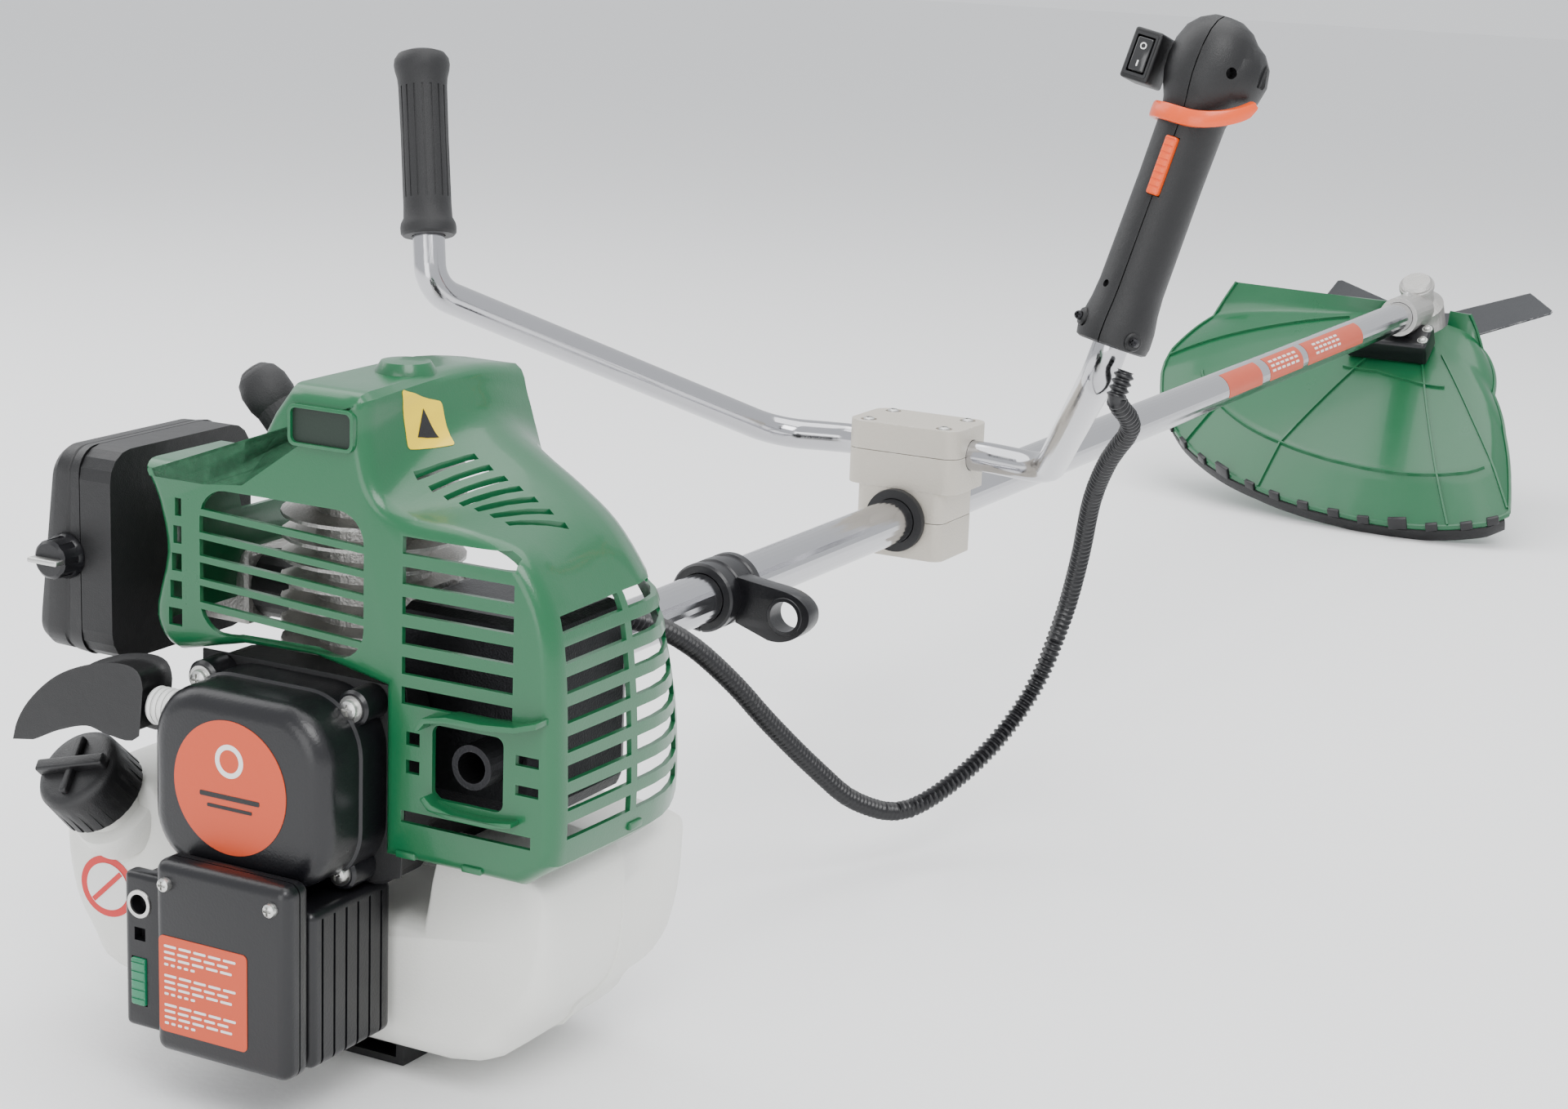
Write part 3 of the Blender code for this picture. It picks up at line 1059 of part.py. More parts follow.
def harness_hook():
    ring = tube("harness_clamp", CRANK, Y, TUBE_R + GAP, TUBE_R + 0.0055, HOOK_Y - HOOK_HALF,
                HOOK_Y + HOOK_HALF, BLACK, 32)
    ear = [(0.010, -0.016), (0.036, -0.021), (0.050, -0.019), (0.060, -0.010), (0.060, 0.000),
           (0.050, 0.007), (0.030, 0.010), (0.014, 0.015)]
    outline = [(x, SHAFT_Z + z) for x, z in ear]
    flange = rear_plate("hook_ear", outline, HOOK_Y - 0.006, HOOK_Y + 0.006, bevel=0.002)
    eye = bar("hook_eye", (0.046, HOOK_Y - 0.02, SHAFT_Z - 0.006), (0.046, HOOK_Y + 0.02, SHAFT_Z - 0.006),
              HOOK_EYE_R, sides=32)
    bore = bar("hook_bore", (0, HOOK_Y - 0.05, SHAFT_Z), (0, HOOK_Y + 0.05, SHAFT_Z), TUBE_R + 2 * GAP,
               sides=32)
    join(ring, flange)
    return cut(ring, eye, bore)


HANDLE_FOOT = BEND_2 + GRIP_WAY * HANDLE_START
OUT = (Vector((1, 0, 0)) - GRIP_WAY * GRIP_WAY.x).normalized()
AHEAD = GRIP_WAY.cross(OUT)
HANDLE_FRAME = Matrix.Translation(HANDLE_FOOT) @ Matrix((OUT, AHEAD, GRIP_WAY)).transposed().to_4x4()
LOCK_LOW = 0.080
LOCK_HIGH = 0.111
LOCK_HALF = 0.0032
TRIGGER_H = 0.122


def handle_shell(name, side):
    """One half of the handle: the seam is the plane through its axis, side is -1 inside and 1 outside."""
    top = HANDLE_LENGTH
    profile = [(0, top), (0.010, top - 0.002), (0.018, top - 0.008), (0.0225, top - 0.018),
               (0.0235, top - 0.030), (0.021, top - 0.042)]
    profile += [(HANDLE_R, top - 0.052), (HANDLE_R, 0.030), (0.0195, 0.014), (0.0195, 0.004), (0.017, 0.0),
                (0, 0.0)]
    shell = turned(name, profile, HANDLE_FOOT, GRIP_WAY, BLACK, 28)
    at = HANDLE_FRAME @ Vector((0.008, 0.004, top - 0.028))
    crown = [(0, 0.022), (0.012, 0.0195), (0.0195, 0.011), (0.0215, 0.0), (0.0195, -0.011),
             (0.012, -0.0175), (0, -0.020)]
    join(shell, turned(name + "_crown", crown, at, GRIP_WAY, steps=20))
    tube_room = [(0, 0.1155), (BAR_R + GAP, 0.1155), (BAR_R + GAP, 0.010), (BAR_R + 0.0022, 0.006)]
    tube_room += [(BAR_R + 0.0022, -0.01), (0, -0.01)]
    head_room = [(0, top - 0.004), (0.009, top - 0.006), (0.017, top - 0.020), (0.018, top - 0.032),
                 (0.014, top - 0.044), (0.010, 0.1175), (0, 0.1175)]
    cut(shell, turned(name + "_tube_room", tube_room, HANDLE_FOOT, GRIP_WAY, steps=24))
    cut(shell, turned(name + "_head_room", head_room, HANDLE_FOOT, GRIP_WAY, steps=20))
    if side < 0:
        half = block(name + "_half", (-GAP / 2, -0.06, -0.02), (0.06, 0.06, 0.25), turn=HANDLE_FRAME)
    else:
        half = block(name + "_half", (-0.06, -0.06, -0.02), (GAP / 2, 0.06, 0.25), turn=HANDLE_FRAME)
    slot = block(name + "_slot", (-LOCK_HALF - GAP, -0.03, LOCK_LOW - GAP),
                 (LOCK_HALF + GAP, -0.0105, LOCK_HIGH + GAP), turn=HANDLE_FRAME)
    return cut(shell, half, slot)


def right_handle():
    handle_shell("handle_inner_half", -1)
    handle_shell("handle_outer_half", 1)
    lever = block("lockout_lever", (-LOCK_HALF, -0.0205, LOCK_LOW), (LOCK_HALF, -0.0130, LOCK_HIGH), ORANGE,
                  0.001, turn=HANDLE_FRAME)
    put_origin(lever, HANDLE_FRAME @ Vector((0, -0.0150, LOCK_LOW + 0.0005)))

    band = bmesh.new()
    sections = []
    inner = HANDLE_R + 0.0006
    outer = inner + 0.0045
    steps = 16
    for i in range(steps + 1):
        t = i / steps
        a = math.radians(-200 + 195 * t)
        rise = 0.016 * max(0.0, (t - 0.6) / 0.4) ** 2
        reach = 0.0100 * max(0.0, (t - 0.55) / 0.45)
        height = TRIGGER_H + rise
        ring = []
        for r, h in ((inner + reach, -0.0045), (outer + reach, -0.0045), (outer + reach, 0.0045),
                     (inner + reach, 0.0045)):
            ring.append(band.verts.new(HANDLE_FRAME @ Vector((r * math.cos(a), r * math.sin(a),
                                                              height + h))))
        sections.append(ring)
    for first, second in zip(sections, sections[1:]):
        for i in range(4):
            j = (i + 1) % 4
            band.faces.new((first[i], first[j], second[j], second[i]))
    band.faces.new(sections[0])
    band.faces.new(sections[-1])
    bmesh.ops.recalc_face_normals(band, faces=band.faces)
    trigger = keep(mesh_object("throttle_trigger", band), ORANGE)
    put_origin(trigger, HANDLE_FRAME @ Vector((-inner - 0.002, 0, TRIGGER_H)))

    low = Vector((-0.0405, -0.0165, 0.132))
    high = Vector((-0.0245, 0.0060, 0.159))
    box = block("switch_box", low, high, BLACK, 0.0015, turn=HANDLE_FRAME)
    seat = block("switch_room", (low.x + 0.003, low.y - 0.01, low.z + 0.004),
                 (high.x - 0.003, low.y + 0.008, high.z - 0.004), turn=HANDLE_FRAME)
    cut(box, seat)
    rocker = block("switch_rocker", (low.x + 0.0036, low.y - 0.0010, low.z + 0.0046),
                   (high.x - 0.0036, low.y + 0.0040, high.z - 0.0046), GLOSS, 0.0008, turn=HANDLE_FRAME)
    put_origin(rocker, HANDLE_FRAME @ Vector(((low.x + high.x) / 2, low.y + 0.002, (low.z + high.z) / 2)))


# ---------------------------------------------------------------- throttle conduit
CONDUIT_EXIT = HANDLE_FRAME @ Vector((0.0165, -0.0100, -0.0090))


def conduit():
    """The cable conduit, from under the right handle round to the clip on the fan housing."""
    sag = ((0.224, 0.345, 0.116), (0.204, 0.368, 0.092), (0.184, 0.398, 0.062), (0.167, 0.428, 0.020))
    sag += ((0.151, 0.447, -0.023), (0.136, 0.443, -0.068), (0.118, 0.414, -0.104), (0.097, 0.368, -0.125))
    sag += ((0.084, 0.326, -0.112), (0.076, 0.288, -0.084), (0.070, 0.242, -0.047), (0.066, 0.211, -0.020))
    sag += ((0.062, 0.173, 0.008), (0.057, 0.140, 0.026), (0.049, 0.112, 0.035))
    route = [CONDUIT_EXIT, CONDUIT_EXIT - GRIP_WAY * 0.015]
    route += [(x, y, SHAFT_Z + above) for x, y, above in sag]
    route += [CLIP_AT + Vector((0, 0.022, 0)), CLIP_AT + Vector((0, 0.0123, 0))]
    pipe("throttle_conduit", smooth_route(route, 0.026), CONDUIT_R, BLACK, 2)


def build():
    clear_scene()
    crank_group()
    crankcase()
    cylinder_group()
    spark_plug()
    fan_group()
    clutch_group()
    exhaust()
    intake_group()
    filter_group()
    engine_cover()
    recoil_group()
    pull_handle()
    battery_group()
    tank_group()
    tank_stand()
    shaft_group()
    gear_head()
    blade_group()
    guard_group()
    handlebar_group()
    bracket_group()
    harness_hook()
    right_handle()
    conduit()


def lean_on_ground():
    """Turns everything about the foot, so that foot and guard stand on the same ground."""
    lean = Matrix.Rotation(LEAN, 4, "X")
    for obj in [*parts.objects, *tools.objects]:
        obj.matrix_world = lean @ obj.matrix_world


build()
lean_on_ground()
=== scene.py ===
"""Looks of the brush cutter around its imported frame: camera, conduit, materials, detail pieces, studio."""
import math

import bmesh
import bpy
import numpy as np
from mathutils import Matrix, Vector


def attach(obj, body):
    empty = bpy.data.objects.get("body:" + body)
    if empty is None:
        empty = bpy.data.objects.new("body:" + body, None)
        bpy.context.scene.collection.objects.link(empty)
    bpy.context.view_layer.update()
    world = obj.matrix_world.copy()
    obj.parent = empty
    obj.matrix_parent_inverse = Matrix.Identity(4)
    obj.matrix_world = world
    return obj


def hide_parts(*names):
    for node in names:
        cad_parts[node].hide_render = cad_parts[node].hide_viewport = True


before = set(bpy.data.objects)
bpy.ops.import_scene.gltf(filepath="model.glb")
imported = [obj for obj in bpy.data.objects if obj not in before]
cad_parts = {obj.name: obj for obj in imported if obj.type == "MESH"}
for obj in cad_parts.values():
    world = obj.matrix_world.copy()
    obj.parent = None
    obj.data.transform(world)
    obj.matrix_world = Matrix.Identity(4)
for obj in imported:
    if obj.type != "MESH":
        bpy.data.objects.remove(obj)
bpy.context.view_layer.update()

SHAFT_Z = 0.148
TUBE_R = 0.014
STICKER_THICKNESS = 0.0002
STICKER_DROP = 0.03
WRAP_PARTS = 12
LEAN_ANGLE = 0.024774316578054418
LEAN = Matrix.Rotation(LEAN_ANGLE, 4, "X")
Y = Vector((0, 1, 0))
UPRIGHT = Matrix.Rotation(math.radians(90), 4, "X")
HEAD = Vector((0, 1.698, SHAFT_Z))
HEAD_FRAME = Matrix.Translation(HEAD) @ Matrix.Rotation(math.radians(32), 4, "X")
GRIP_WAY = Vector((0.226, 0.234, 1.0)).normalized()
BAR_Z = SHAFT_Z + 0.0418
BEND_1 = Vector((0.0947, 0.5504, BAR_Z))
BEND_2 = Vector((0.2106, 0.3311, SHAFT_Z + 0.1454))
HANDLE_FOOT = BEND_2 + 0.014 * GRIP_WAY


# ---------------------------------------------------------------- camera
def camera():
    data = bpy.data.cameras.new("camera")
    data.lens = 66.507
    data.sensor_width = 36
    data.clip_end = 60
    cam = bpy.data.objects.new("camera", data)
    right = Vector((0.88161278, 0.46932207, 0.04995709))
    up = Vector((-0.14184672, 0.16251727, 0.97645668))
    back = Vector((0.45015377, -0.86794295, 0.20984930))
    turn = Matrix((right, up, back)).transposed().to_4x4()
    cam.matrix_world = Matrix.Translation((0.7565, -1.07562, 0.51641)) @ turn
    bpy.context.collection.objects.link(cam)
    bpy.context.scene.camera = cam


camera()


# ---------------------------------------------------------------- node tools
def socket(item, name):
    """The identifier of an interface socket, for setting it on a modifier."""
    return next(s.identifier for s in item.interface.items_tree if s.name == name and s.in_out == "INPUT")


def new_group(name, kind, inputs, outputs):
    """A node group with these (name, type, default) sockets, and its input and output nodes."""
    group = bpy.data.node_groups.new(name, kind)
    for label, shape, value in inputs:
        made = group.interface.new_socket(name=label, in_out="INPUT", socket_type=shape)
        if value is not None:
            made.default_value = value
    for label, shape in outputs:
        group.interface.new_socket(name=label, in_out="OUTPUT", socket_type=shape)
    return group, group.nodes.new("NodeGroupInput"), group.nodes.new("NodeGroupOutput")


def put(tree, kind, links=(), **values):
    """Adds a node, sets attributes given by name, and links or sets inputs from pairs (input, source or value)."""
    node = tree.nodes.new(kind)
    for key, value in values.items():
        setattr(node, key, value)
    for key, source in links:
        if isinstance(source, bpy.types.NodeSocket):
            tree.links.new(source, node.inputs[key])
        else:
            node.inputs[key].default_value = source
    return node


def maths(tree, operation, a, b=0.0, clamp=False):
    return put(tree, "ShaderNodeMath", ((0, a), (1, b)), operation=operation, use_clamp=clamp).outputs[0]


FLOAT, COLOUR, VECTOR = "NodeSocketFloat", "NodeSocketColor", "NodeSocketVector"


def blend_colour(tree, share, a, b, how="MIX"):
    mix = put(tree, "ShaderNodeMix", data_type="RGBA", blend_type=how)
    for i, value in ((0, share), (6, a), (7, b)):
        if isinstance(value, bpy.types.NodeSocket):
            tree.links.new(value, mix.inputs[i])
        else:
            mix.inputs[i].default_value = value
    return mix.outputs[2]


def grain_group():
    """Fine moulded or cast grain: a bump from two sizes of noise."""
    tree, i, o = new_group("grain", "ShaderNodeTree", (
        ("Place", VECTOR, None), ("Size", FLOAT, 0.0006), ("Depth", FLOAT, 0.2)), (("Normal", VECTOR),))
    scale = maths(tree, "DIVIDE", 1.0, i.outputs["Size"])
    fine = put(tree, "ShaderNodeTexNoise", (("Vector", i.outputs["Place"]), ("Scale", scale),
                                            ("Detail", 2.0)))
    wide = put(tree, "ShaderNodeTexNoise", (
        ("Vector", i.outputs["Place"]), ("Scale", maths(tree, "MULTIPLY", scale, 0.07)), ("Detail", 3.0)))
    height = maths(tree, "ADD", fine.outputs[0], maths(tree, "MULTIPLY", wide.outputs[0], 1.6))
    bump = put(tree, "ShaderNodeBump", (
        ("Strength", i.outputs["Depth"]), ("Distance", i.outputs["Size"]), ("Height", height)))
    tree.links.new(bump.outputs[0], o.inputs["Normal"])
    return tree


def wear_group():
    """Rubbed edges: where a rounded normal differs from the true one, broken up by noise."""
    tree, i, o = new_group("edge_wear", "ShaderNodeTree", (
        ("Place", VECTOR, None), ("Radius", FLOAT, 0.0012), ("Amount", FLOAT, 0.5)), (("Mask", FLOAT),))
    round_ = put(tree, "ShaderNodeBevel", (("Radius", i.outputs["Radius"]),), samples=4)
    true = put(tree, "ShaderNodeNewGeometry")
    dot = put(tree, "ShaderNodeVectorMath", ((0, round_.outputs[0]), (1, true.outputs["Normal"])),
              operation="DOT_PRODUCT")
    edge = maths(tree, "MULTIPLY", maths(tree, "SUBTRACT", 0.985, dot.outputs["Value"], True), 9.0, True)
    noise = put(tree, "ShaderNodeTexNoise", (("Vector", i.outputs["Place"]), ("Scale", 210.0),
                                             ("Detail", 4.0)))
    broken = maths(tree, "MULTIPLY", maths(tree, "SUBTRACT", noise.outputs[0], 0.42, True), 4.0, True)
    mask = maths(tree, "MULTIPLY", maths(tree, "MULTIPLY", edge, broken), i.outputs["Amount"], True)
    tree.links.new(mask, o.inputs["Mask"])
    return tree


def dust_group():
    """Handling marks and settled dust: cloudy changes of colour and roughness, more on upward faces."""
    tree, i, o = new_group("dust", "ShaderNodeTree", (
        ("Place", VECTOR, None), ("Colour", COLOUR, (0.5, 0.5, 0.5, 1)),
        ("Dust", COLOUR, (0.5, 0.48, 0.44, 1)),
        ("Roughness", FLOAT, 0.4), ("Amount", FLOAT, 0.1)), (("Colour", COLOUR), ("Roughness", FLOAT)))
    cloud = put(tree, "ShaderNodeTexNoise", (("Vector", i.outputs["Place"]), ("Scale", 16.0),
                                             ("Detail", 6.0),
                                             ("Roughness", 0.62)))
    speck = put(tree, "ShaderNodeTexNoise", (("Vector", i.outputs["Place"]), ("Scale", 900.0),
                                             ("Detail", 1.0)))
    up = put(tree, "ShaderNodeSeparateXYZ", ((0, put(tree, "ShaderNodeNewGeometry").outputs["Normal"]),))
    lift = maths(tree, "ADD", 0.55, maths(tree, "MULTIPLY", up.outputs[2], 0.45), True)
    both = maths(tree, "ADD", maths(tree, "MULTIPLY", cloud.outputs[0], 0.75),
                 maths(tree, "MULTIPLY", speck.outputs[0], 0.35))
    share = maths(tree, "MULTIPLY", maths(tree, "MULTIPLY", maths(tree, "SUBTRACT", both, 0.30, True),
                                          lift),
                  i.outputs["Amount"], True)
    tree.links.new(blend_colour(tree, share, i.outputs["Colour"], i.outputs["Dust"]), o.inputs["Colour"])
    rough = maths(tree, "ADD", i.outputs["Roughness"],
                  maths(tree, "MULTIPLY", maths(tree, "SUBTRACT", cloud.outputs[0], 0.5), 0.16))
    tree.links.new(maths(tree, "ADD", rough, maths(tree, "MULTIPLY", share, 0.5), True),
                   o.inputs["Roughness"])
    return tree


def brushed_group():
    """Drawn or turned metal: fine lines along one axis of the place."""
    tree, i, o = new_group("drawn_metal", "ShaderNodeTree", (
        ("Place", VECTOR, None), ("Stretch", VECTOR, (1, 1, 1)), ("Depth", FLOAT, 0.1)),
        (("Normal", VECTOR), ("Streak", FLOAT)))
    place = put(tree, "ShaderNodeVectorMath", ((0, i.outputs["Place"]), (1, i.outputs["Stretch"])),
                operation="MULTIPLY")
    noise = put(tree, "ShaderNodeTexNoise", (("Vector", place.outputs[0]), ("Scale", 1.0), ("Detail", 3.0)))
    bump = put(tree, "ShaderNodeBump", (("Strength", i.outputs["Depth"]), ("Distance", 0.0004),
                                        ("Height", noise.outputs[0])))
    tree.links.new(bump.outputs[0], o.inputs["Normal"])
    tree.links.new(noise.outputs[0], o.inputs["Streak"])
    return tree


GRAIN = grain_group()
WEAR = wear_group()
DUST = dust_group()
BRUSHED = brushed_group()


def use_group(tree, group, links):
    """Places a shader group with its own values."""
    return put(tree, "ShaderNodeGroup", links, node_tree=group)


def look(name, colour, roughness=0.4, metallic=0.0, grain=0.0006, depth=0.15, dust=0.12, worn=0.0,
         worn_colour=None, coat=0.0, drawn=None, sheen=0.0, light=0.0, clear=0.0):
    """A material: the colour, dulled by dust, rubbed at its edges, with a moulded, cast or drawn surface."""
    made = bpy.data.materials.new(name)
    made.use_nodes = True
    tree = made.node_tree
    shader = tree.nodes["Principled BSDF"]
    place = put(tree, "ShaderNodeTexCoord").outputs["Object"]
    colour = (*colour, 1.0)
    dusty = use_group(tree, DUST, (("Place", place), ("Colour", colour), ("Roughness", roughness),
                                   ("Amount", dust)))
    shown, rough = dusty.outputs["Colour"], dusty.outputs["Roughness"]
    if worn:
        edge = use_group(tree, WEAR, (("Place", place), ("Amount", worn))).outputs["Mask"]
        pale = worn_colour or tuple(min(1.0, c * 2.2 + 0.05) for c in colour[:3])
        shown = blend_colour(tree, edge, shown, (*pale, 1.0))
    if drawn:
        lines = use_group(tree, BRUSHED, (("Place", place), ("Stretch", drawn), ("Depth", depth)))
        tree.links.new(lines.outputs["Normal"], shader.inputs["Normal"])
        rough = maths(tree, "ADD", rough, maths(tree, "MULTIPLY", maths(
            tree, "SUBTRACT", lines.outputs["Streak"], 0.5), 0.2), True)
    elif depth:
        bump = use_group(tree, GRAIN, (("Place", place), ("Size", grain), ("Depth", depth)))
        tree.links.new(bump.outputs["Normal"], shader.inputs["Normal"])
    tree.links.new(shown, shader.inputs["Base Color"])
    tree.links.new(rough, shader.inputs["Roughness"])
    shader.inputs["Metallic"].default_value = metallic
    shader.inputs["Coat Weight"].default_value = coat
    shader.inputs["Coat Roughness"].default_value = 0.08
    shader.inputs["Sheen Weight"].default_value = sheen
    shader.inputs["Subsurface Weight"].default_value = light
    shader.inputs["Subsurface Radius"].default_value = (0.01, 0.01, 0.01)
    shader.inputs["Transmission Weight"].default_value = clear
    return made


GREEN = look("green_plastic", (0.0035, 0.100, 0.034), 0.30, grain=0.0009, depth=0.08, dust=0.025, worn=0.2,
             coat=0.25)
# Painted shade: a darker copy of the cover green that stands in for the shade inside the duct recess.
DUCT_SHADE_GREEN = look("shaded_green", (0.0010, 0.012, 0.005), 0.55, grain=0.0009, depth=0.1, dust=0.01)
BLACK = look("black_plastic", (0.0045, 0.0045, 0.0052), 0.46, grain=0.0005, depth=0.30, dust=0.014,
             worn=0.15)
SATIN = look("satin_black", (0.0045, 0.0045, 0.0060), 0.30, grain=0.0012, depth=0.08, dust=0.012, worn=0.15)
GLOSS = look("gloss_black_tube", (0.010, 0.010, 0.011), 0.14, grain=0.004, depth=0.03, dust=0.04, coat=0.6)
RUBBER = look("black_rubber", (0.006, 0.006, 0.007), 0.58, grain=0.0007, depth=0.30, dust=0.02, sheen=0.05)
CAST = look("cast_aluminium", (0.52, 0.51, 0.49), 0.46, 0.92, grain=0.0012, depth=0.45, dust=0.18, worn=0.5)
CREAM = look("painted_bracket", (0.56, 0.52, 0.45), 0.42, 0.25, grain=0.0012, depth=0.30, dust=0.16,
             worn=0.5)
CHROME = look("bright_tube", (0.50, 0.50, 0.52), 0.13, 1.0, depth=0.05, dust=0.05, drawn=(900, 60, 60))
ZINC = look("zinc_screws", (0.62, 0.62, 0.60), 0.32, 1.0, grain=0.0006, depth=0.2, dust=0.10, worn=0.4)
STEEL = look("ground_steel", (0.52, 0.52, 0.53), 0.28, 1.0, depth=0.2, dust=0.08, drawn=(900, 60, 900))
BLADE = look("blade_steel", (0.060, 0.062, 0.066), 0.36, 0.85, depth=0.25, dust=0.05, drawn=(500, 90, 500),
             worn=0.8,
             worn_colour=(0.75, 0.75, 0.75))
DARK_STEEL = look("dark_steel", (0.022, 0.022, 0.025), 0.42, 0.8, grain=0.001, depth=0.25, dust=0.05,
                  worn=0.4)
TANK = look("tank_plastic", (0.78, 0.78, 0.74), 0.42, grain=0.0011, depth=0.14, dust=0.08, light=0.35)
CAP = look("cap_plastic", (0.006, 0.006, 0.007), 0.40, grain=0.0006, depth=0.3, dust=0.02, worn=0.2)
ORANGE = look("orange_plastic", (0.82, 0.085, 0.006), 0.34, grain=0.0007, depth=0.12, dust=0.02, worn=0.1,
              coat=0.15)
LABEL = look("orange_label", (0.56, 0.060, 0.012), 0.40, grain=0.003, depth=0.03, dust=0.03)
YELLOW = look("yellow_sticker", (0.85, 0.60, 0.01), 0.36, grain=0.003, depth=0.03, dust=0.03)
RED = look("red_print", (0.62, 0.02, 0.02), 0.38, grain=0.003, depth=0.02, dust=0.05)
WHITE = look("white_print", (0.80, 0.80, 0.78), 0.40, grain=0.003, depth=0.02, dust=0.06)
LAMP = look("green_button", (0.004, 0.17, 0.075), 0.28, grain=0.002, depth=0.05, dust=0.05, coat=0.3)
FOAM = look("foam", (0.05, 0.05, 0.052), 0.95, grain=0.0016, depth=0.9, dust=0.1)

NODE_LOOKS = {
    GREEN: ("engine_cover", "guard"),
    BLACK: ("air_filter_base", "air_filter_cover", "battery_box", "crankcase", "fan_housing",
            "recoil_housing",
            "handle_inner_half", "handle_outer_half", "harness_clamp", "tank_stand", "switch_box",
            "pull_handle",
            "filter_knob", "intake_manifold", "bracket_cap", "guard_bracket"),
    SATIN: ("battery_lid", "switch_strip", "battery", "guard_trim", "clutch_housing", "recoil_pulley"),
    RUBBER: ("left_grip", "shaft_bush", "shaft_liner", "plug_boot"),
    CAST: ("cylinder", "gear_case", "gear_cap", "carburettor", "flywheel", "clutch_rotor", "piston",
           "connecting_rod", "throttle_cam"),
    CREAM: ("bracket_base", "bracket_middle"),
    CHROME: ("handlebar", "shaft_tube"),
    STEEL: ("crankshaft", "drive_shaft", "bevel_pinion", "output_shaft", "clutch_drum", "spark_plug"),
    BLADE: ("blade",),
    DARK_STEEL: ("muffler",),
    ZINC: ("blade_nut", "blade_cup", "blade_flange"),
    TANK: ("fuel_tank",),
    CAP: ("fuel_cap",),
    ORANGE: ("lockout_lever", "throttle_trigger"),
    LAMP: ("start_button", "switch_rocker"),
    FOAM: ("air_filter_element",),
}


def dress_nodes():
    for finish, names in NODE_LOOKS.items():
        for name in names:
            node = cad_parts[name]
            node.data.materials.clear()
            node.data.materials.append(finish)
            for polygon in node.data.polygons:
                polygon.material_index = 0


dress_nodes()


# ---------------------------------------------------------------- shape tools
def plain(obj):
    """Turns an object with modifiers or a curve into a plain mesh object at the origin."""
    graph = bpy.context.evaluated_depsgraph_get()
    graph.update()
    mesh = bpy.data.meshes.new_from_object(obj.evaluated_get(graph), depsgraph=graph)
    mesh.transform(obj.matrix_world)
    name = obj.name
    bpy.data.objects.remove(obj, do_unlink=True)
    made = bpy.data.objects.new(name, mesh)
    bpy.context.collection.objects.link(made)
    return made


def shell(name, shape):
    """An object of a bmesh, with its faces outward."""
    bmesh.ops.recalc_face_normals(shape, faces=shape.faces)
    mesh = bpy.data.meshes.new(name)
    shape.to_mesh(mesh)
    shape.free()
    obj = bpy.data.objects.new(name, mesh)
    bpy.context.collection.objects.link(obj)
    return obj


def rounded(obj, width, segments=3, angle=30):
    bevel = obj.modifiers.new("bevel", "BEVEL")
    bevel.width = width
    bevel.segments = segments
    bevel.limit_method = "ANGLE"
    bevel.angle_limit = math.radians(angle)
    return plain(obj)


def boxed(name, low, high, bevel=0.0, turn=Matrix(), segments=3):
    shape = bmesh.new()
    low, high = Vector(low), Vector(high)
    place = turn @ Matrix.Translation((low + high) / 2) @ Matrix.Diagonal((*(high - low), 1.0))
    bmesh.ops.create_cube(shape, size=1.0, matrix=place)
    obj = shell(name, shape)
    return rounded(obj, bevel, segments) if bevel else obj


def along(origin, way, side="Y"):
    return Matrix.Translation(origin) @ Vector(way).normalized().to_track_quat("Z",
                                                                               side).to_matrix().to_4x4()


def turned(name, profile, place, steps=48, closed=True):
    """A profile of (radius, height) turned about the Z axis of the frame place. Points on the axis close it."""
    shape = bmesh.new()
    rings = []
    for radius, height in profile:
        if radius < 1e-6:
            rings.append([shape.verts.new(place @ Vector((0, 0, height)))] * steps)
            continue
        rings.append([shape.verts.new(place @ Vector((radius * math.cos(math.tau * i / steps),
                                                      radius * math.sin(math.tau * i / steps), height)))
                      for i in range(steps)])
    pairs = list(zip(rings, rings[1:]))
    if profile[0][0] > 1e-6 and profile[-1][0] > 1e-6 and closed:
        pairs.append((rings[-1], rings[0]))
    for a, b in pairs:
        for i in range(steps):
            j = (i + 1) % steps
            corners = []
            for vert in (a[i], a[j], b[j], b[i]):
                if vert not in corners:
                    corners.append(vert)
            if len(corners) > 2:
                shape.faces.new(corners)
    return shell(name, shape)


def prism(name, outline, low, high, place, bevel=0.0, segments=3, holes=()):
    """A flat outline with holes, from height low to high of the frame place."""
    curve = bpy.data.curves.new(name, "CURVE")
    curve.dimensions = "2D"
    curve.fill_mode = "BOTH"
    curve.extrude = (high - low) / 2
    for points in (outline, *holes):
        spline = curve.splines.new("POLY")
        spline.points.add(len(points) - 1)
        for point, at in zip(spline.points, points):
            point.co = (*at, 0.0, 1.0)
        spline.use_cyclic_u = True
    obj = bpy.data.objects.new(name, curve)
    bpy.context.collection.objects.link(obj)
    obj.matrix_world = place @ Matrix.Translation((0, 0, (low + high) / 2))
    made = plain(obj)
    shape = bmesh.new()
    shape.from_mesh(made.data)
    bmesh.ops.remove_doubles(shape, verts=shape.verts, dist=0.00001)
    bmesh.ops.recalc_face_normals(shape, faces=shape.faces)
    shape.to_mesh(made.data)
    shape.free()
    return rounded(made, bevel, segments) if bevel else made


def round_box(x0, x1, z0, z1, radius, steps=6):
    points = []
    corners = ((x1 - radius, z0 + radius, -90), (x1 - radius, z1 - radius, 0),
               (x0 + radius, z1 - radius, 90), (x0 + radius, z0 + radius, 180))
    for x, z, start in corners:
        for i in range(steps + 1):
            turn = math.radians(start + 90 * i / steps)
            points.append((x + radius * math.cos(turn), z + radius * math.sin(turn)))
    return points


def circle(x, z, radius, sides=40):
    return [(x + radius * math.cos(math.tau * i / sides), z + radius * math.sin(math.tau * i / sides))
            for i in range(sides)]


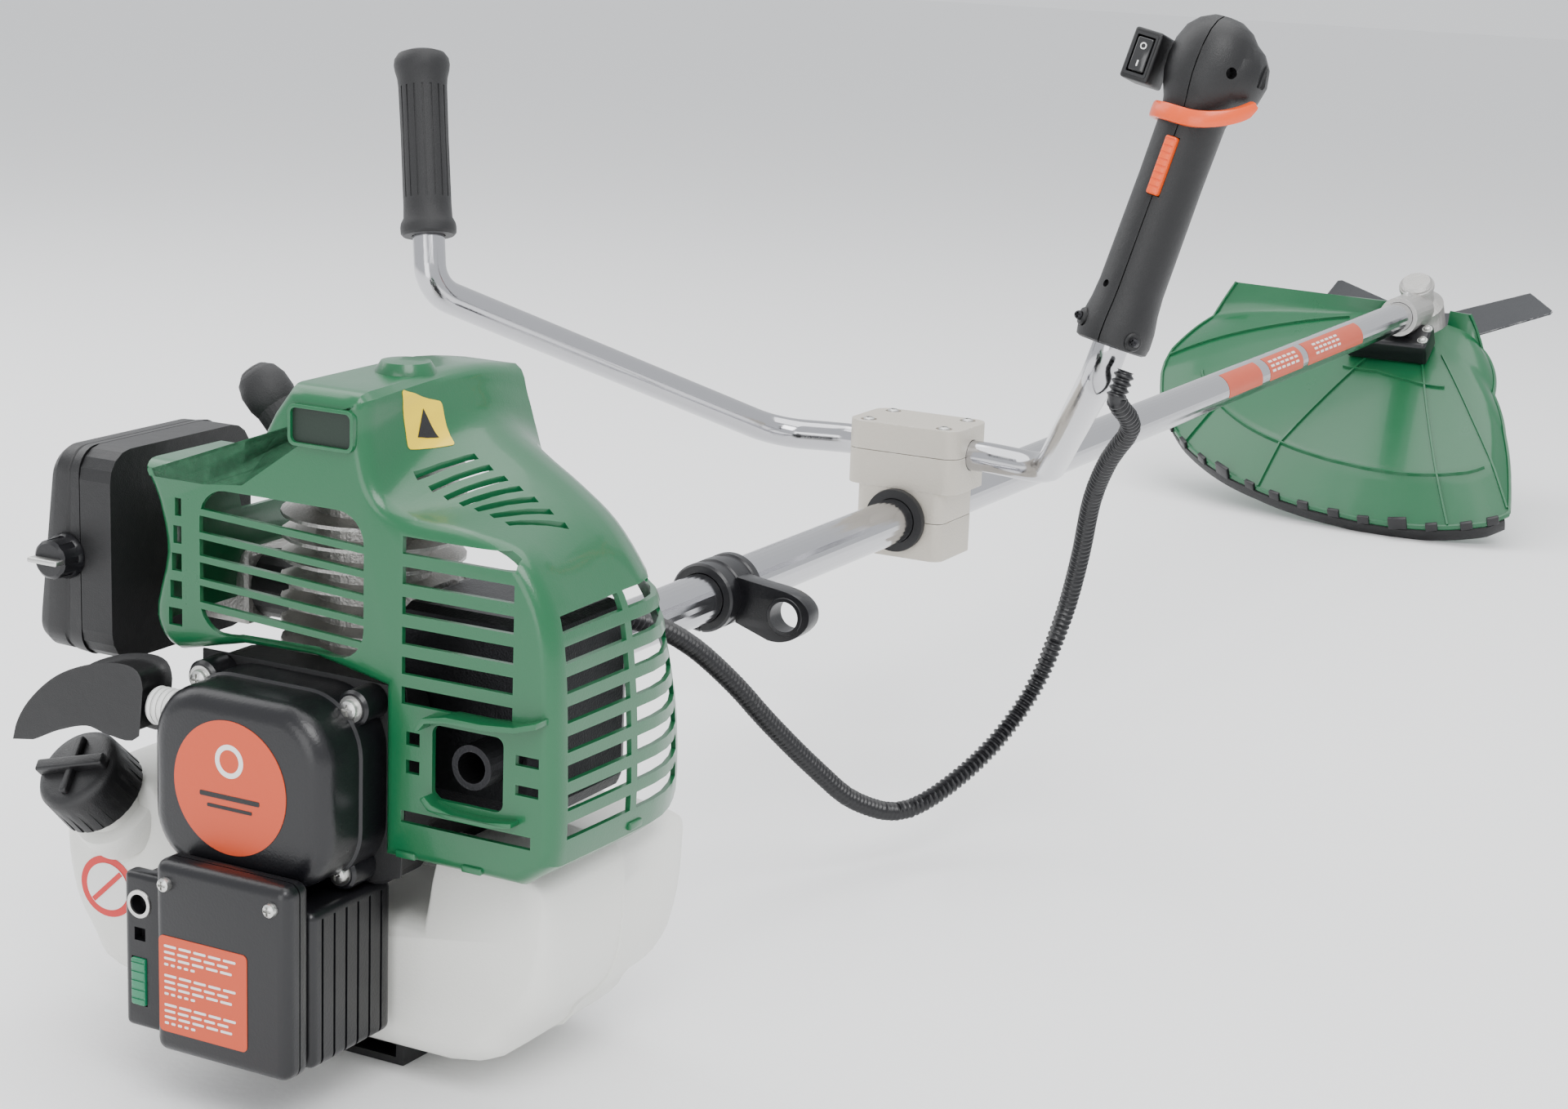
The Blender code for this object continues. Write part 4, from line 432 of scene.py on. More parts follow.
def rod(name, points, radius, resolution=6):
    curve = bpy.data.curves.new(name, "CURVE")
    curve.dimensions = "3D"
    curve.bevel_depth = radius
    curve.bevel_resolution = resolution
    curve.use_fill_caps = True
    spline = curve.splines.new("POLY")
    spline.points.add(len(points) - 1)
    for point, at in zip(spline.points, points):
        point.co = (*at, 1.0)
    obj = bpy.data.objects.new(name, curve)
    bpy.context.collection.objects.link(obj)
    return plain(obj)


def merged(name, *pieces):
    """Several objects as one mesh object."""
    shape = bmesh.new()
    for obj in pieces:
        shape.from_mesh(obj.data)
        bpy.data.objects.remove(obj, do_unlink=True)
    mesh = bpy.data.meshes.new(name)
    shape.to_mesh(mesh)
    shape.free()
    obj = bpy.data.objects.new(name, mesh)
    bpy.context.collection.objects.link(obj)
    return obj


def carve(obj, *cutters):
    for cutter in cutters:
        boolean = obj.modifiers.new("cut", "BOOLEAN")
        boolean.operation = "DIFFERENCE"
        boolean.solver = "EXACT"
        boolean.object = cutter
    made = plain(obj)
    for cutter in cutters:
        bpy.data.objects.remove(cutter, do_unlink=True)
    return made


def show(obj, finish, body="machine", angle=35, replaces=(), lean=True):
    """Finishes a piece: the lean of the whole machine, its look, its shading and the body that it rides."""
    if lean:
        obj.data.transform(LEAN)
    obj.data.materials.clear()
    obj.data.materials.append(finish)
    for polygon in obj.data.polygons:
        polygon.material_index = 0
        polygon.use_smooth = True
    obj.data.set_sharp_from_angle(angle=math.radians(angle))
    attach(obj, body)
    if replaces:
        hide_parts(*replaces)
    return obj


def smooth_route(points, spacing):
    points = [Vector(p) for p in points]
    ends = [2 * points[0] - points[1], *points, 2 * points[-1] - points[-2]]
    route = []
    for a, b, c, d in zip(ends, ends[1:], ends[2:], ends[3:]):
        steps = max(1, round((c - b).length / spacing))
        for i in range(steps):
            t = i / steps
            bend = 2 * b + (c - a) * t + (2 * a - 5 * b + 4 * c - d) * t * t
            route.append((bend + (3 * b - a - 3 * c + d) * t ** 3) / 2)
    return [*route, points[-1]]


# ---------------------------------------------------------------- conduit
def handle_frame():
    out = Vector((1, 0, 0))
    out = (out - out.dot(GRIP_WAY) * GRIP_WAY).normalized()
    ahead = GRIP_WAY.cross(out)
    return Matrix.Translation(HANDLE_FOOT) @ Matrix((out, ahead, GRIP_WAY)).transposed().to_4x4()


HANDLE_FRAME = handle_frame()


def corrugation_tree():
    """Geometry Nodes: a ribbed tube swept along a curve."""
    tree, i, o = new_group("corrugated_tube", "GeometryNodeTree", (
        ("Geometry", "NodeSocketGeometry", None), ("Outer radius", FLOAT, 0.0055),
        ("Groove depth", FLOAT, 0.0012),
        ("Pitch", FLOAT, 0.003), ("Material", "NodeSocketMaterial", None)),
        (("Geometry", "NodeSocketGeometry"),))
    fine = put(tree, "GeometryNodeResampleCurve", (("Curve", i.outputs["Geometry"]), ), mode="LENGTH")
    tree.links.new(maths(tree, "DIVIDE", i.outputs["Pitch"], 6.0), fine.inputs["Length"])
    run = put(tree, "GeometryNodeSplineParameter")
    wave = maths(tree, "SINE", maths(tree, "MULTIPLY", maths(
        tree, "DIVIDE", run.outputs["Length"], i.outputs["Pitch"]), math.tau))
    dip = maths(tree, "MULTIPLY", maths(tree, "MULTIPLY", maths(tree, "ADD", wave, 1.0), 0.5),
                i.outputs["Groove depth"])
    share = maths(tree, "DIVIDE", maths(tree, "SUBTRACT", i.outputs["Outer radius"], dip),
                  i.outputs["Outer radius"])
    ring = put(tree, "GeometryNodeCurvePrimitiveCircle",
               (("Resolution", 16), ("Radius", i.outputs["Outer radius"])))
    swept = put(tree, "GeometryNodeCurveToMesh", (
        ("Curve", fine.outputs[0]), ("Profile Curve", ring.outputs[0]), ("Fill Caps", True)))
    if "Scale" in swept.inputs:
        tree.links.new(share, swept.inputs["Scale"])
    real = put(tree, "GeometryNodeRealizeInstances", (("Geometry", swept.outputs[0]),))
    done = put(tree, "GeometryNodeSetMaterial", (("Geometry", real.outputs[0]),
                                                 ("Material", i.outputs["Material"])))
    tree.links.new(done.outputs[0], o.inputs[0])
    return tree


CONDUIT_R = 0.0055
CLIP_AT = Vector((0.045, 0.070, SHAFT_Z + 0.034))


def conduit():
    exit_at = HANDLE_FRAME @ Vector((0.0165, -0.0100, -0.0090))
    sag = ((0.224, 0.345, 0.116), (0.204, 0.368, 0.092), (0.184, 0.398, 0.062), (0.167, 0.428, 0.020))
    sag += ((0.151, 0.447, -0.023), (0.136, 0.443, -0.068), (0.118, 0.414, -0.104), (0.097, 0.368, -0.125))
    sag += ((0.084, 0.326, -0.112), (0.076, 0.288, -0.084), (0.070, 0.242, -0.047), (0.066, 0.211, -0.020))
    sag += ((0.062, 0.173, 0.008), (0.057, 0.140, 0.026), (0.049, 0.112, 0.035))
    points = [exit_at, exit_at - GRIP_WAY * 0.015]
    points += [(x, y, SHAFT_Z + above) for x, y, above in sag]
    points += [CLIP_AT + Vector((0, 0.022, 0)), CLIP_AT + Vector((0, 0.0123, 0))]
    path = [LEAN @ p for p in smooth_route(points, 0.012)]
    curve = bpy.data.curves.new("conduit", "CURVE")
    curve.dimensions = "3D"
    spline = curve.splines.new("POLY")
    spline.points.add(len(path) - 1)
    for point, at in zip(spline.points, path):
        point.co = (*at, 1.0)
    obj = bpy.data.objects.new("conduit", curve)
    bpy.context.collection.objects.link(obj)
    tree = corrugation_tree()
    ribs = obj.modifiers.new("corrugation", "NODES")
    ribs.node_group = tree
    ribs[socket(tree, "Outer radius")] = CONDUIT_R
    ribs[socket(tree, "Groove depth")] = 0.0017
    ribs[socket(tree, "Pitch")] = 0.0036
    ribs[socket(tree, "Material")] = SATIN
    made = plain(obj)
    show(made, SATIN, replaces=("throttle_conduit",), lean=False, angle=60)


conduit()


# ---------------------------------------------------------------- engine cover
# Outlines of X and height over the shaft, anticlockwise: at the rear, at the crest and at the front edge.
COVER_ROWS = (
    ((0.057, -0.029), (0.057, -0.029), (0.057, -0.029)),
    ((0.128, -0.029), (0.132, -0.029), (0.122, -0.030)),
    ((0.144, -0.018), (0.146, -0.018), (0.131, -0.018)),
    ((0.145, 0.030), (0.147, 0.030), (0.129, 0.028)),
    ((0.142, 0.080), (0.142, 0.077), (0.118, 0.062)),
    ((0.132, 0.105), (0.134, 0.094), (0.107, 0.080)),
    ((0.118, 0.117), (0.119, 0.113), (0.090, 0.101)),
    ((0.095, 0.122), (0.100, 0.127), (0.071, 0.115)),
    ((0.067, 0.124), (0.079, 0.139), (0.058, 0.125)),
    ((0.053, 0.133), (0.056, 0.152), (0.052, 0.140)),
    ((0.047, 0.155), (0.049, 0.165), (0.047, 0.155)),
    ((0.044, 0.173), (0.042, 0.174), (0.040, 0.169)),
    ((0.008, 0.173), (0.010, 0.174), (0.012, 0.169)),
    ((-0.002, 0.160), (0.000, 0.162), (0.002, 0.158)),
    ((-0.012, 0.142), (-0.012, 0.145), (-0.012, 0.143)),
    ((-0.020, 0.132), (-0.020, 0.134), (-0.020, 0.134)),
    ((-0.038, 0.130), (-0.038, 0.130), (-0.038, 0.130)),
    ((-0.072, 0.130), (-0.072, 0.130), (-0.072, 0.130)),
    ((-0.066, 0.112), (-0.066, 0.112), (-0.066, 0.112)),
    ((-0.062, 0.090), (-0.062, 0.090), (-0.062, 0.090)),
    ((-0.068, 0.060), (-0.068, 0.060), (-0.068, 0.060)),
    ((-0.054, 0.045), (-0.054, 0.045), (-0.054, 0.045)),
    ((-0.020, 0.053), (-0.020, 0.053), (-0.020, 0.053)),
    ((0.020, 0.054), (0.020, 0.054), (0.020, 0.054)),
    ((0.057, 0.047), (0.057, 0.047), (0.057, 0.047)),
)
COVER_REAR = -0.089
COVER_CREST = -0.010
COVER_FRONT = 0.038


def smooth_loop(points, soft, parts=4):
    """A closed outline with each stretch split into parts, and curved where its index is in soft."""
    made = []
    count = len(points)
    for i in range(count):
        a, b, c, d = (Vector(points[k % count]) for k in (i - 1, i, i + 1, i + 2))
        for k in range(parts):
            t = k / parts
            if i in soft:
                point = (2 * b + (c - a) * t + (2 * a - 5 * b + 4 * c - d) * t * t + (3 * b - a - 3 * c + d) * t ** 3) / 2
            else:
                point = b.lerp(c, t)
            made.append(point)
    return made


def inset(outline, distance):
    moved = []
    count = len(outline)
    for i in range(count):
        before, at, after = (Vector(outline[k % count]) for k in (i - 1, i, i + 1))
        a, b = (at - before).normalized(), (after - at).normalized()
        inwards = Vector((-a.y - b.y, a.x + b.x)).normalized()
        moved.append(at + inwards * distance / max(0.4, inwards.dot(Vector((-a.y, a.x)))))
    return moved


def loft(name, sections):
    """A closed body through outlines of X and Z, each with its own Y, rear first."""
    shape = bmesh.new()
    rings = [[shape.verts.new((x, y, z)) for x, z in outline] for outline, y in sections]
    shape.faces.new(rings[0])
    shape.faces.new(rings[-1])
    for low, high in zip(rings, rings[1:]):
        for i in range(len(low)):
            j = (i + 1) % len(low)
            shape.faces.new((low[i], high[i], high[j], low[j]))
    return shell(name, shape)


def cubes(name, boxes):
    """Several separate boxes as one cutter; a box may have a third entry, its slant along X per metre of Y."""
    shape = bmesh.new()
    for box in boxes:
        low, high = Vector(box[0]), Vector(box[1])
        place = Matrix.Translation((low + high) / 2)
        if len(box) > 2:
            place = place @ box[2]
        bmesh.ops.create_cube(shape, size=1.0, matrix=place @ Matrix.Diagonal((*(high - low), 1.0)))
    return shell(name, shape)


def engine_cover():
    soft = set(range(2, 11)) | {17, 18, 19, 20}
    rear, crest, front = (smooth_loop([(row[k][0], SHAFT_Z + row[k][1]) for row in COVER_ROWS],
                                      soft) for k in range(3))
    corner = 0.010

    def sections(wall):
        made = []
        for i in range(6):
            a = math.radians(90 * i / 5)
            drop = wall + 0.0065 * (1 - math.sin(a))
            made.append((inset(rear, drop), COVER_REAR + wall + corner * (1 - math.cos(a))))
        for i in range(1, 6):
            t = i / 5
            share = math.sin(math.radians(90 * t))
            mixed = [a.lerp(b, share) for a, b in zip(rear, crest)]
            made.append((inset(mixed, wall), COVER_REAR + corner + (COVER_CREST - COVER_REAR - corner) * t))
        for i in range(1, 5):
            t = i / 4
            mixed = [a.lerp(b, 1 - math.cos(math.radians(90 * t))) for a, b in zip(crest, front)]
            made.append((inset(mixed, wall), COVER_CREST + (COVER_FRONT - COVER_CREST) * t))
        return made

    wall = 0.0025
    outside = loft("cover", sections(0))
    deep = sections(wall)
    room = loft("room", [*deep, (deep[-1][0], COVER_FRONT + 0.01)])
    behind, inside, z0 = COVER_REAR - 0.01, COVER_REAR + 0.0055, SHAFT_Z
    solids = [
        boxed("c", (-0.10, COVER_REAR + 0.0065, z0 - 0.06), (0.0620, 0.06, z0 + 0.0575)),
        boxed("c", (-0.10, COVER_REAR + 0.0065, z0 + 0.03), (-0.0480, 0.06, z0 + 0.1265)),
        boxed("c", (-0.08, -0.034, z0 + 0.10), (-0.0035, 0.06, z0 + 0.20)),
        boxed("c", (0.05, COVER_REAR + 0.010, z0 - 0.045), (0.1405, 0.06, z0 - 0.0240)),
    ]
    window = prism("window", round_box(-0.040, 0.048, z0 + 0.057, z0 + 0.122, 0.014), -inside, -behind,
                   UPRIGHT)
    slant = Matrix.Rotation(math.radians(3), 4, "Y")
    bars = [((-0.07, behind - 0.01, z0 + 0.0650 + i * 0.0105),
             (0.08, inside + 0.01, z0 + 0.0680 + i * 0.0105), slant)
            for i in range(5)]
    window = carve(window, cubes("bars", bars))
    exhaust = prism("exhaust", round_box(0.084, 0.120, z0 + 0.003, z0 + 0.036, 0.004), -inside, -behind,
                    UPRIGHT)
    slots = [((-0.0575 + 0.001 * i, behind, z0 + 0.0575 + i * 0.0125),
              (-0.0500, inside, z0 + 0.0655 + i * 0.0125))
             for i in range(5)]
    slots += [((0.068, behind, z0 + 0.0424 + i * 0.0131),
               (0.124, inside, z0 + 0.0500 + i * 0.0131)) for i in range(6)]
    slots += [((0.126, -0.0785, z0 - 0.0067 + i * 0.0127),
               (0.160, -0.030, z0 + 0.0006 + i * 0.0127)) for i in range(8)]
    slots += [((0.115, -0.025, z0 - 0.0067 + i * 0.0127),
               (0.160, 0.024, z0 + 0.0006 + i * 0.0127)) for i in range(8)]
    slots += [((0.0705, behind, z0 + h), (0.0775, inside, z0 + h + 0.006)) for h in (0.0120, 0.0245)]
    slots += [((0.126, behind, z0 + h), (0.1375, inside, z0 + h + 0.0045)) for h in (0.0125, 0.0255)]
    slots += [((0.068, behind, z0 - 0.0105), (0.134, inside, z0 - 0.0050))]
    tilt = Matrix.Rotation(math.radians(-20), 4, "Z")
    slots += [((0.0610 + 0.0078 * i, -0.066, z0 + 0.100), (0.0645 + 0.0078 * i, -0.034, z0 + 0.160), tilt)
              for i in range(7)]
    made = carve(outside, room, *solids)
    made = carve(made, window, exhaust, cubes("slots", slots))
    show(made, GREEN, replaces=("engine_cover",), angle=32)

    rib = [(0.080, 0.0345), (0.084, 0.0405), (0.096, 0.0430), (0.114, 0.0430), (0.130, 0.0445),
           (0.141, 0.0480)]
    rib += [(0.141, 0.0455), (0.130, 0.0420), (0.114, 0.0404), (0.096, 0.0404), (0.0855, 0.0385),
            (0.082, 0.0345)]
    low = [(0.082, 0.0040), (0.086, -0.0005), (0.098, -0.0025), (0.116, -0.0025), (0.128, -0.0005),
           (0.128, 0.0018)]
    low += [(0.116, 0.0), (0.098, 0.0), (0.088, 0.0022), (0.084, 0.0055)]
    for name, outline, rear_y in (("cover_brow", rib, -0.0975), ("cover_sill", low, -0.0955)):
        points = [(x, z0 + z) for x, z in reversed(outline)]
        show(prism(name, points, 0.0860, -rear_y, UPRIGHT, 0.0007), GREEN)
    # Painted shade: a dark green sheet across the duct mouth, inside the lip, stands for the shaded recess behind
    # it.
    mouth = round_box(0.011, 0.042, z0 + 0.1490, z0 + 0.1640, 0.0025)
    show(prism("duct_mouth", mouth, 0.0880, 0.0894, UPRIGHT), DUCT_SHADE_GREEN)
    lip = prism("duct_lip", round_box(0.0095, 0.0435, z0 + 0.1475, z0 + 0.1655, 0.0035), 0.0878, 0.0912,
                UPRIGHT, 0.0008,
                holes=(mouth[::-1],))
    show(lip, GREEN)
    tabs = [boxed("t", (x, -0.0900, z0 - 0.0265), (x + 0.010, -0.0870, z0 - 0.0235),
                  0.0006) for x in (0.066, 0.100)]
    tabs.append(boxed("t", (0.1435, -0.030, z0 - 0.0160), (0.1478, -0.020, z0 - 0.0125), 0.0006))
    show(merged("cover_tabs", *tabs), GREEN)
    boss = [(0, 0.006), (0.011, 0.005), (0.0135, 0.001), (0.0145, -0.012), (0, -0.012)]
    show(turned("cover_boss", boss, Matrix.Translation((0.030, -0.034, z0 + 0.1735))), GREEN)


engine_cover()


# ---------------------------------------------------------------- screws
def screw_mesh(at, way, radius=0.0040, washer=True):
    """A cross-recessed pan head with a washer, its seat at the point at."""
    place = along(at, way)
    head = [(0, 0.0034), (radius * 0.55, 0.0033), (radius * 0.9, 0.0025), (radius, 0.0012),
            (radius, -0.0006),
            (0, -0.0006)]
    made = turned("screw", head, place, 28)
    cross = [boxed("x", (-radius * 0.62, -0.00055, 0.0018), (radius * 0.62, 0.00055, 0.006), turn=place),
             boxed("x", (-0.00055, -radius * 0.62, 0.0018), (0.00055, radius * 0.62, 0.006), turn=place)]
    made = carve(made, *cross)
    if not washer:
        return made
    ring = turned("washer", [(radius * 1.35, 0.0004), (radius * 1.35, -0.0008), (0.001, -0.0008),
                             (0.001, 0.0004)],
                  place, 28)
    return merged("screw", made, ring)


def screws(name, places, way, radius=0.0040, finish=ZINC, washer=True):
    show(merged(name, *[screw_mesh(at, way, radius, washer) for at in places]), finish)


# ---------------------------------------------------------------- recoil starter and battery box
def sheet_disc(name, outline, depth, finish, place, thick=0.0004):
    """A thin label with its face at depth along the frame's Z."""
    return show(prism(name, outline, depth - 0.0003, depth + thick, place), finish)


def recoil():
    z0 = SHAFT_Z
    outline = [Vector(p) for p in round_box(-0.041, 0.053, z0 - 0.041, z0 + 0.043, 0.026, 10)]
    steps = [(0.0100 - 0.0100 * math.sin(math.radians(a)), 0.010 * (1 - math.cos(math.radians(a))))
             for a in (0, 15, 30, 45, 60, 75, 90)]
    sections = [(inset(outline, i), -0.124 + y) for i, y in steps] + [(outline, -0.0985),
                                                                      (inset(outline, -0.0012), -0.0975),
                                                                   (inset(outline, -0.0012), -0.0805)]
    body = loft("recoil_shell", sections)
    room = loft("room", [(inset(outline, 0.014), -0.121), (inset(outline, 0.004), -0.112),
                         (inset(outline, 0.003), -0.07)])
    show(carve(body, room), SATIN, replaces=("recoil_housing",))
    spots = ((0.047, 0.038), (0.041, -0.037), (-0.034, 0.038))
    ears = [turned("ear", [(0, -0.0960), (0.0068, -0.0960), (0.0080, -0.0945), (0.0080, -0.0805),
                           (0, -0.0805)][::-1],
                   Matrix.Translation((x, 0, z0 + z)) @ Matrix.Rotation(math.radians(90), 4,
                                                                        "X") @ Matrix.Diagonal(
                       (1, 1, -1, 1)), 36) for x, z in spots]
    show(merged("recoil_ears", *ears), SATIN)
    screws("recoil_screws", [(x, -0.0962, z0 + z) for x, z in spots], -Y, 0.0044)
    sheet_disc("round_label", circle(0.004, z0 + 0.002, 0.0300, 72), 0.1240, LABEL, UPRIGHT)
    marks = [prism("m", round_box(x, x + w, z0 + z, z0 + z + h, h * 0.3), 0.1240, 0.1246, UPRIGHT)
             for x, z, w, h in ((-0.012, -0.0035, 0.032, 0.0022), (-0.008, -0.0080, 0.024, 0.0016))]
    show(merged("label_bars", *marks), BLACK)
    wheel = prism("mark", circle(0.004, z0 + 0.014, 0.0075, 40), 0.1240, 0.1246, UPRIGHT,
                  holes=(circle(0.004, z0 + 0.014, 0.0052, 40)[::-1],))
    show(wheel, WHITE)
    plate = [(0.045, -0.0455), (0.062, -0.040), (0.066, 0.020), (0.064, 0.046), (0.040, 0.0465),
             (-0.046, 0.0465)]
    plate += [(-0.046, -0.0455)]
    show(prism("starter_gasket", [(x, z0 + z) for x, z in plate], 0.0790, 0.0802, UPRIGHT, 0.0004), BLACK)


def battery_box():
    z0 = SHAFT_Z
    lid = boxed("lid", (-0.0240, -0.142, z0 - 0.118), (0.048, -0.1248, z0 - 0.030), 0.0055, segments=5)
    groove = boxed("g", (-0.03, -0.1335, z0 - 0.13), (0.06, -0.1327, z0 + 0.0))
    core = boxed("k", (-0.0228, -0.150, z0 - 0.1168), (0.0468, -0.11, z0 - 0.0312), 0.005)
    groove = carve(groove, core)
    lid = carve(lid, groove)
    show(lid, SATIN, replaces=("battery_lid",))
    box = boxed("box", (-0.047, -0.1245, z0 - 0.118), (0.048, -0.0665, z0 - 0.0462), 0.004, segments=4)
    grooves = cubes("g",
                    [((0.0465, -0.118 + 0.0085 * i, z0 - 0.125), (0.0600, -0.1165 + 0.0085 * i, z0 - 0.050))
                          for i in range(6)])
    show(carve(box, grooves), SATIN, replaces=("battery_box", "battery"))
    screws("lid_screws", [(-0.0165, -0.1420, z0 - 0.040), (0.0400, -0.1420, z0 - 0.040)], -Y, 0.0032,
           washer=False)
    sheet_disc("square_label", round_box(-0.0205, 0.0270, z0 - 0.1075, z0 - 0.0635, 0.0025), 0.1420, LABEL,
               UPRIGHT)
    lines = []
    for block in range(3):
        for row in range(4):
            z = z0 - 0.0675 - block * 0.0135 - row * 0.0028
            width = (0.040, 0.036, 0.038, 0.018)[row]
            for k in range(5):
                x = -0.0175 + k * width / 5
                lines.append(prism("l", round_box(x, x + width / 5 - 0.0014, z - 0.0011, z, 0.0004, 2),
                                   0.1424, 0.14255,
                                   UPRIGHT))
    show(merged("label_lines", *lines), WHITE)
    strip = boxed("s", (-0.047, -0.134, z0 - 0.114), (-0.0243, -0.1248, z0 - 0.042), 0.003, segments=4)
    holes = [boxed("h", (-0.0428, -0.144, z0 - 0.1033), (-0.0342, -0.1268, z0 - 0.0807)),
             boxed("h", (-0.041, -0.144, z0 - 0.073), (-0.035, -0.129, z0 - 0.067))]
    holes.append(turned("h", [(0, 0.02), (0.0045, 0.02), (0.0045, -0.006), (0, -0.006)],
                        along((-0.038, -0.134, z0 - 0.056), -Y), 32))
    show(carve(strip, *holes), SATIN, replaces=("switch_strip",))
    ring = turned("jack", [(0.0062, 0.0009), (0.0066, 0.0003), (0.0066, -0.0012), (0.0046, -0.0012),
                           (0.0046, 0.0009)],
                  along((-0.038, -0.134, z0 - 0.056), -Y), 36)
    show(ring, ZINC)
    button = boxed("b", (-0.0425, -0.1355, z0 - 0.103), (-0.0345, -0.1295, z0 - 0.081), 0.0012, segments=4)
    ridges = cubes("r",
                   [((-0.05, -0.137, z0 - 0.1000 + 0.0042 * i), (-0.03, -0.1350, z0 - 0.0990 + 0.0042 * i))
                         for i in range(5)])
    show(carve(button, ridges), LAMP, body="button", replaces=("start_button",))


recoil()
battery_box()


# ---------------------------------------------------------------- fuel tank
def tank():
    z0 = SHAFT_Z
    shape = ((-.147, -.080), (-.144, -.046), (-.130, -.030), (-.090, -.030), (-.066, -.066), (.058, -.066),
             (.066, -.034),
             (.118, -.034), (.127, -.050), (.124, -.090), (.106, -.113), (.072, -.133), (-.100, -.133),
             (-.136, -.110))
    outline = smooth_loop([(x, z0 + z) for x, z in reversed(shape)], {0, 2, 3, 4, 5, 6, 10, 11, 12, 13}, 5)
    sections = []
    for y, depth in ((-0.062, 0.0125), (-0.0610, 0.0085), (-0.0585, 0.0048), (-0.054, 0.0018),
                     (-0.048, 0.0003),
                     (-0.030, 0.0), (-0.0012, 0.0), (-0.0008, -0.0012), (0.0008, -0.0012), (0.0012, 0.0),
                     (0.030, 0.0),
                     (0.043, 0.0004), (0.050, 0.0025), (0.056, 0.0060), (0.060, 0.0120)):
        full = inset(outline, depth)
        shares = [0.3 + 0.7 * min(1.0, max(0.0, (z0 - 0.045 - p.y) / 0.06)) for p in outline]
        sections.append(([a.lerp(b, share) for a, b, share in zip(outline, full, shares)], y))
    body = loft("tank", sections)
    neck_at = Vector((-0.1140, -0.0580, z0 - 0.0480))
    way = Vector((-0.11, -0.69, 0.72)).normalized()
    place = along(neck_at, way)
    show(body, TANK, replaces=("fuel_tank",), angle=50)
    neck = [(0.0130, 0.030), (0.0160, 0.030), (0.0160, -0.012), (0.0130, -0.012)]
    show(turned("tank_neck", neck, place, 56), TANK)
    collar = [(0.0215, 0.004), (0.0225, 0.002), (0.0225, -0.004), (0.0215, -0.010), (0.0150, -0.012),
              (0.0150, 0.006)]
    show(turned("tank_collar", collar, place, 56), TANK)

    high = 0.0375
    cup = [(0, high), (0.0160, high), (0.0195, high - 0.0012), (0.0212, high - 0.0035), (0.0220, 0.0150),
           (0.0216, 0.0145),
           (0.0163, 0.0145), (0.0163, high - 0.0045), (0, high - 0.0045)]
    cap = turned("cap", cup, place, 72)
    notches = bmesh.new()
    for i in range(24):
        spot = place @ Matrix.Rotation(math.tau * i / 24, 4, "Z") @ Matrix.Translation((0.0232, 0, 0.024))
        bmesh.ops.create_cube(notches, size=1.0, matrix=spot @ Matrix.Diagonal((0.0036, 0.0021, 0.030, 1)))
    cap = carve(cap, shell("n", notches))
    show(cap, CAP, body="cap", replaces=("fuel_cap",))
    ribs = []
    for i, (long, wide, tall) in enumerate(((0.0190, 0.0030, 0.0052), (0.0150, 0.0020, 0.0035))):
        cross = place @ Matrix.Rotation(math.radians(90 * i + 20), 4, "Z")
        ribs.append(boxed("r", (-long, -wide, high - 0.001), (long, wide, high + tall), 0.0012, turn=cross))
    show(merged("cap_grip", *ribs), CAP, body="cap")


tank()


# ---------------------------------------------------------------- decals that follow a surface
def decal(name, target, place, outline, finish, body="machine", lift=0.0003, spacing=0.0012):
    """A thin printed patch laid on a finished piece: a grid inside outline, dropped along the frame's -Z."""
    graph = bpy.context.evaluated_depsgraph_get()
    graph.update()
    piece = bpy.data.objects[target]
    corners = [Vector(p) for p in outline]
    base = prism("d", [tuple(p) for p in corners], -STICKER_THICKNESS, 0.0, Matrix())
    shape = bmesh.new()
    shape.from_mesh(base.data)
    bpy.data.objects.remove(base, do_unlink=True)
    bmesh.ops.delete(shape, geom=[f for f in shape.faces if f.normal.z < 0.5], context="FACES")
    low = Vector((min(p.x for p in corners), min(p.y for p in corners)))
    high = Vector((max(p.x for p in corners), max(p.y for p in corners)))
    for axis in (0, 1):
        count = max(1, int((high[axis] - low[axis]) / spacing))
        for i in range(1, count):
            at = Vector((0, 0, 0))
            at[axis] = low[axis] + (high[axis] - low[axis]) * i / count
            normal = Vector((1 - axis, axis, 0))
            bmesh.ops.bisect_plane(shape, geom=shape.verts[:] + shape.edges[:] + shape.faces[:],
                                   plane_co=at,
                                   plane_no=normal)
    world = LEAN @ place
    down = (world.to_3x3() @ Vector((0, 0, -1))).normalized()
    for vert in shape.verts:
        start = world @ Vector((vert.co.x, vert.co.y, 0.0))
        hit, at, normal, _ = piece.ray_cast(start - down * STICKER_DROP, down)
        vert.co = at + normal * lift if hit else start
    mesh = bpy.data.meshes.new(name)
    bmesh.ops.recalc_face_normals(shape, faces=shape.faces)
    total = sum((f.normal * f.calc_area() for f in shape.faces), Vector())
    if total.dot(down) > 0:
        bmesh.ops.reverse_faces(shape, faces=shape.faces)
    bmesh.ops.solidify(shape, geom=shape.faces[:], thickness=STICKER_THICKNESS)
    bmesh.ops.recalc_face_normals(shape, faces=shape.faces)
    shape.to_mesh(mesh)
    shape.free()
    obj = bpy.data.objects.new(name, mesh)
    bpy.context.collection.objects.link(obj)
    return show(obj, finish, body=body, lean=False, angle=60)


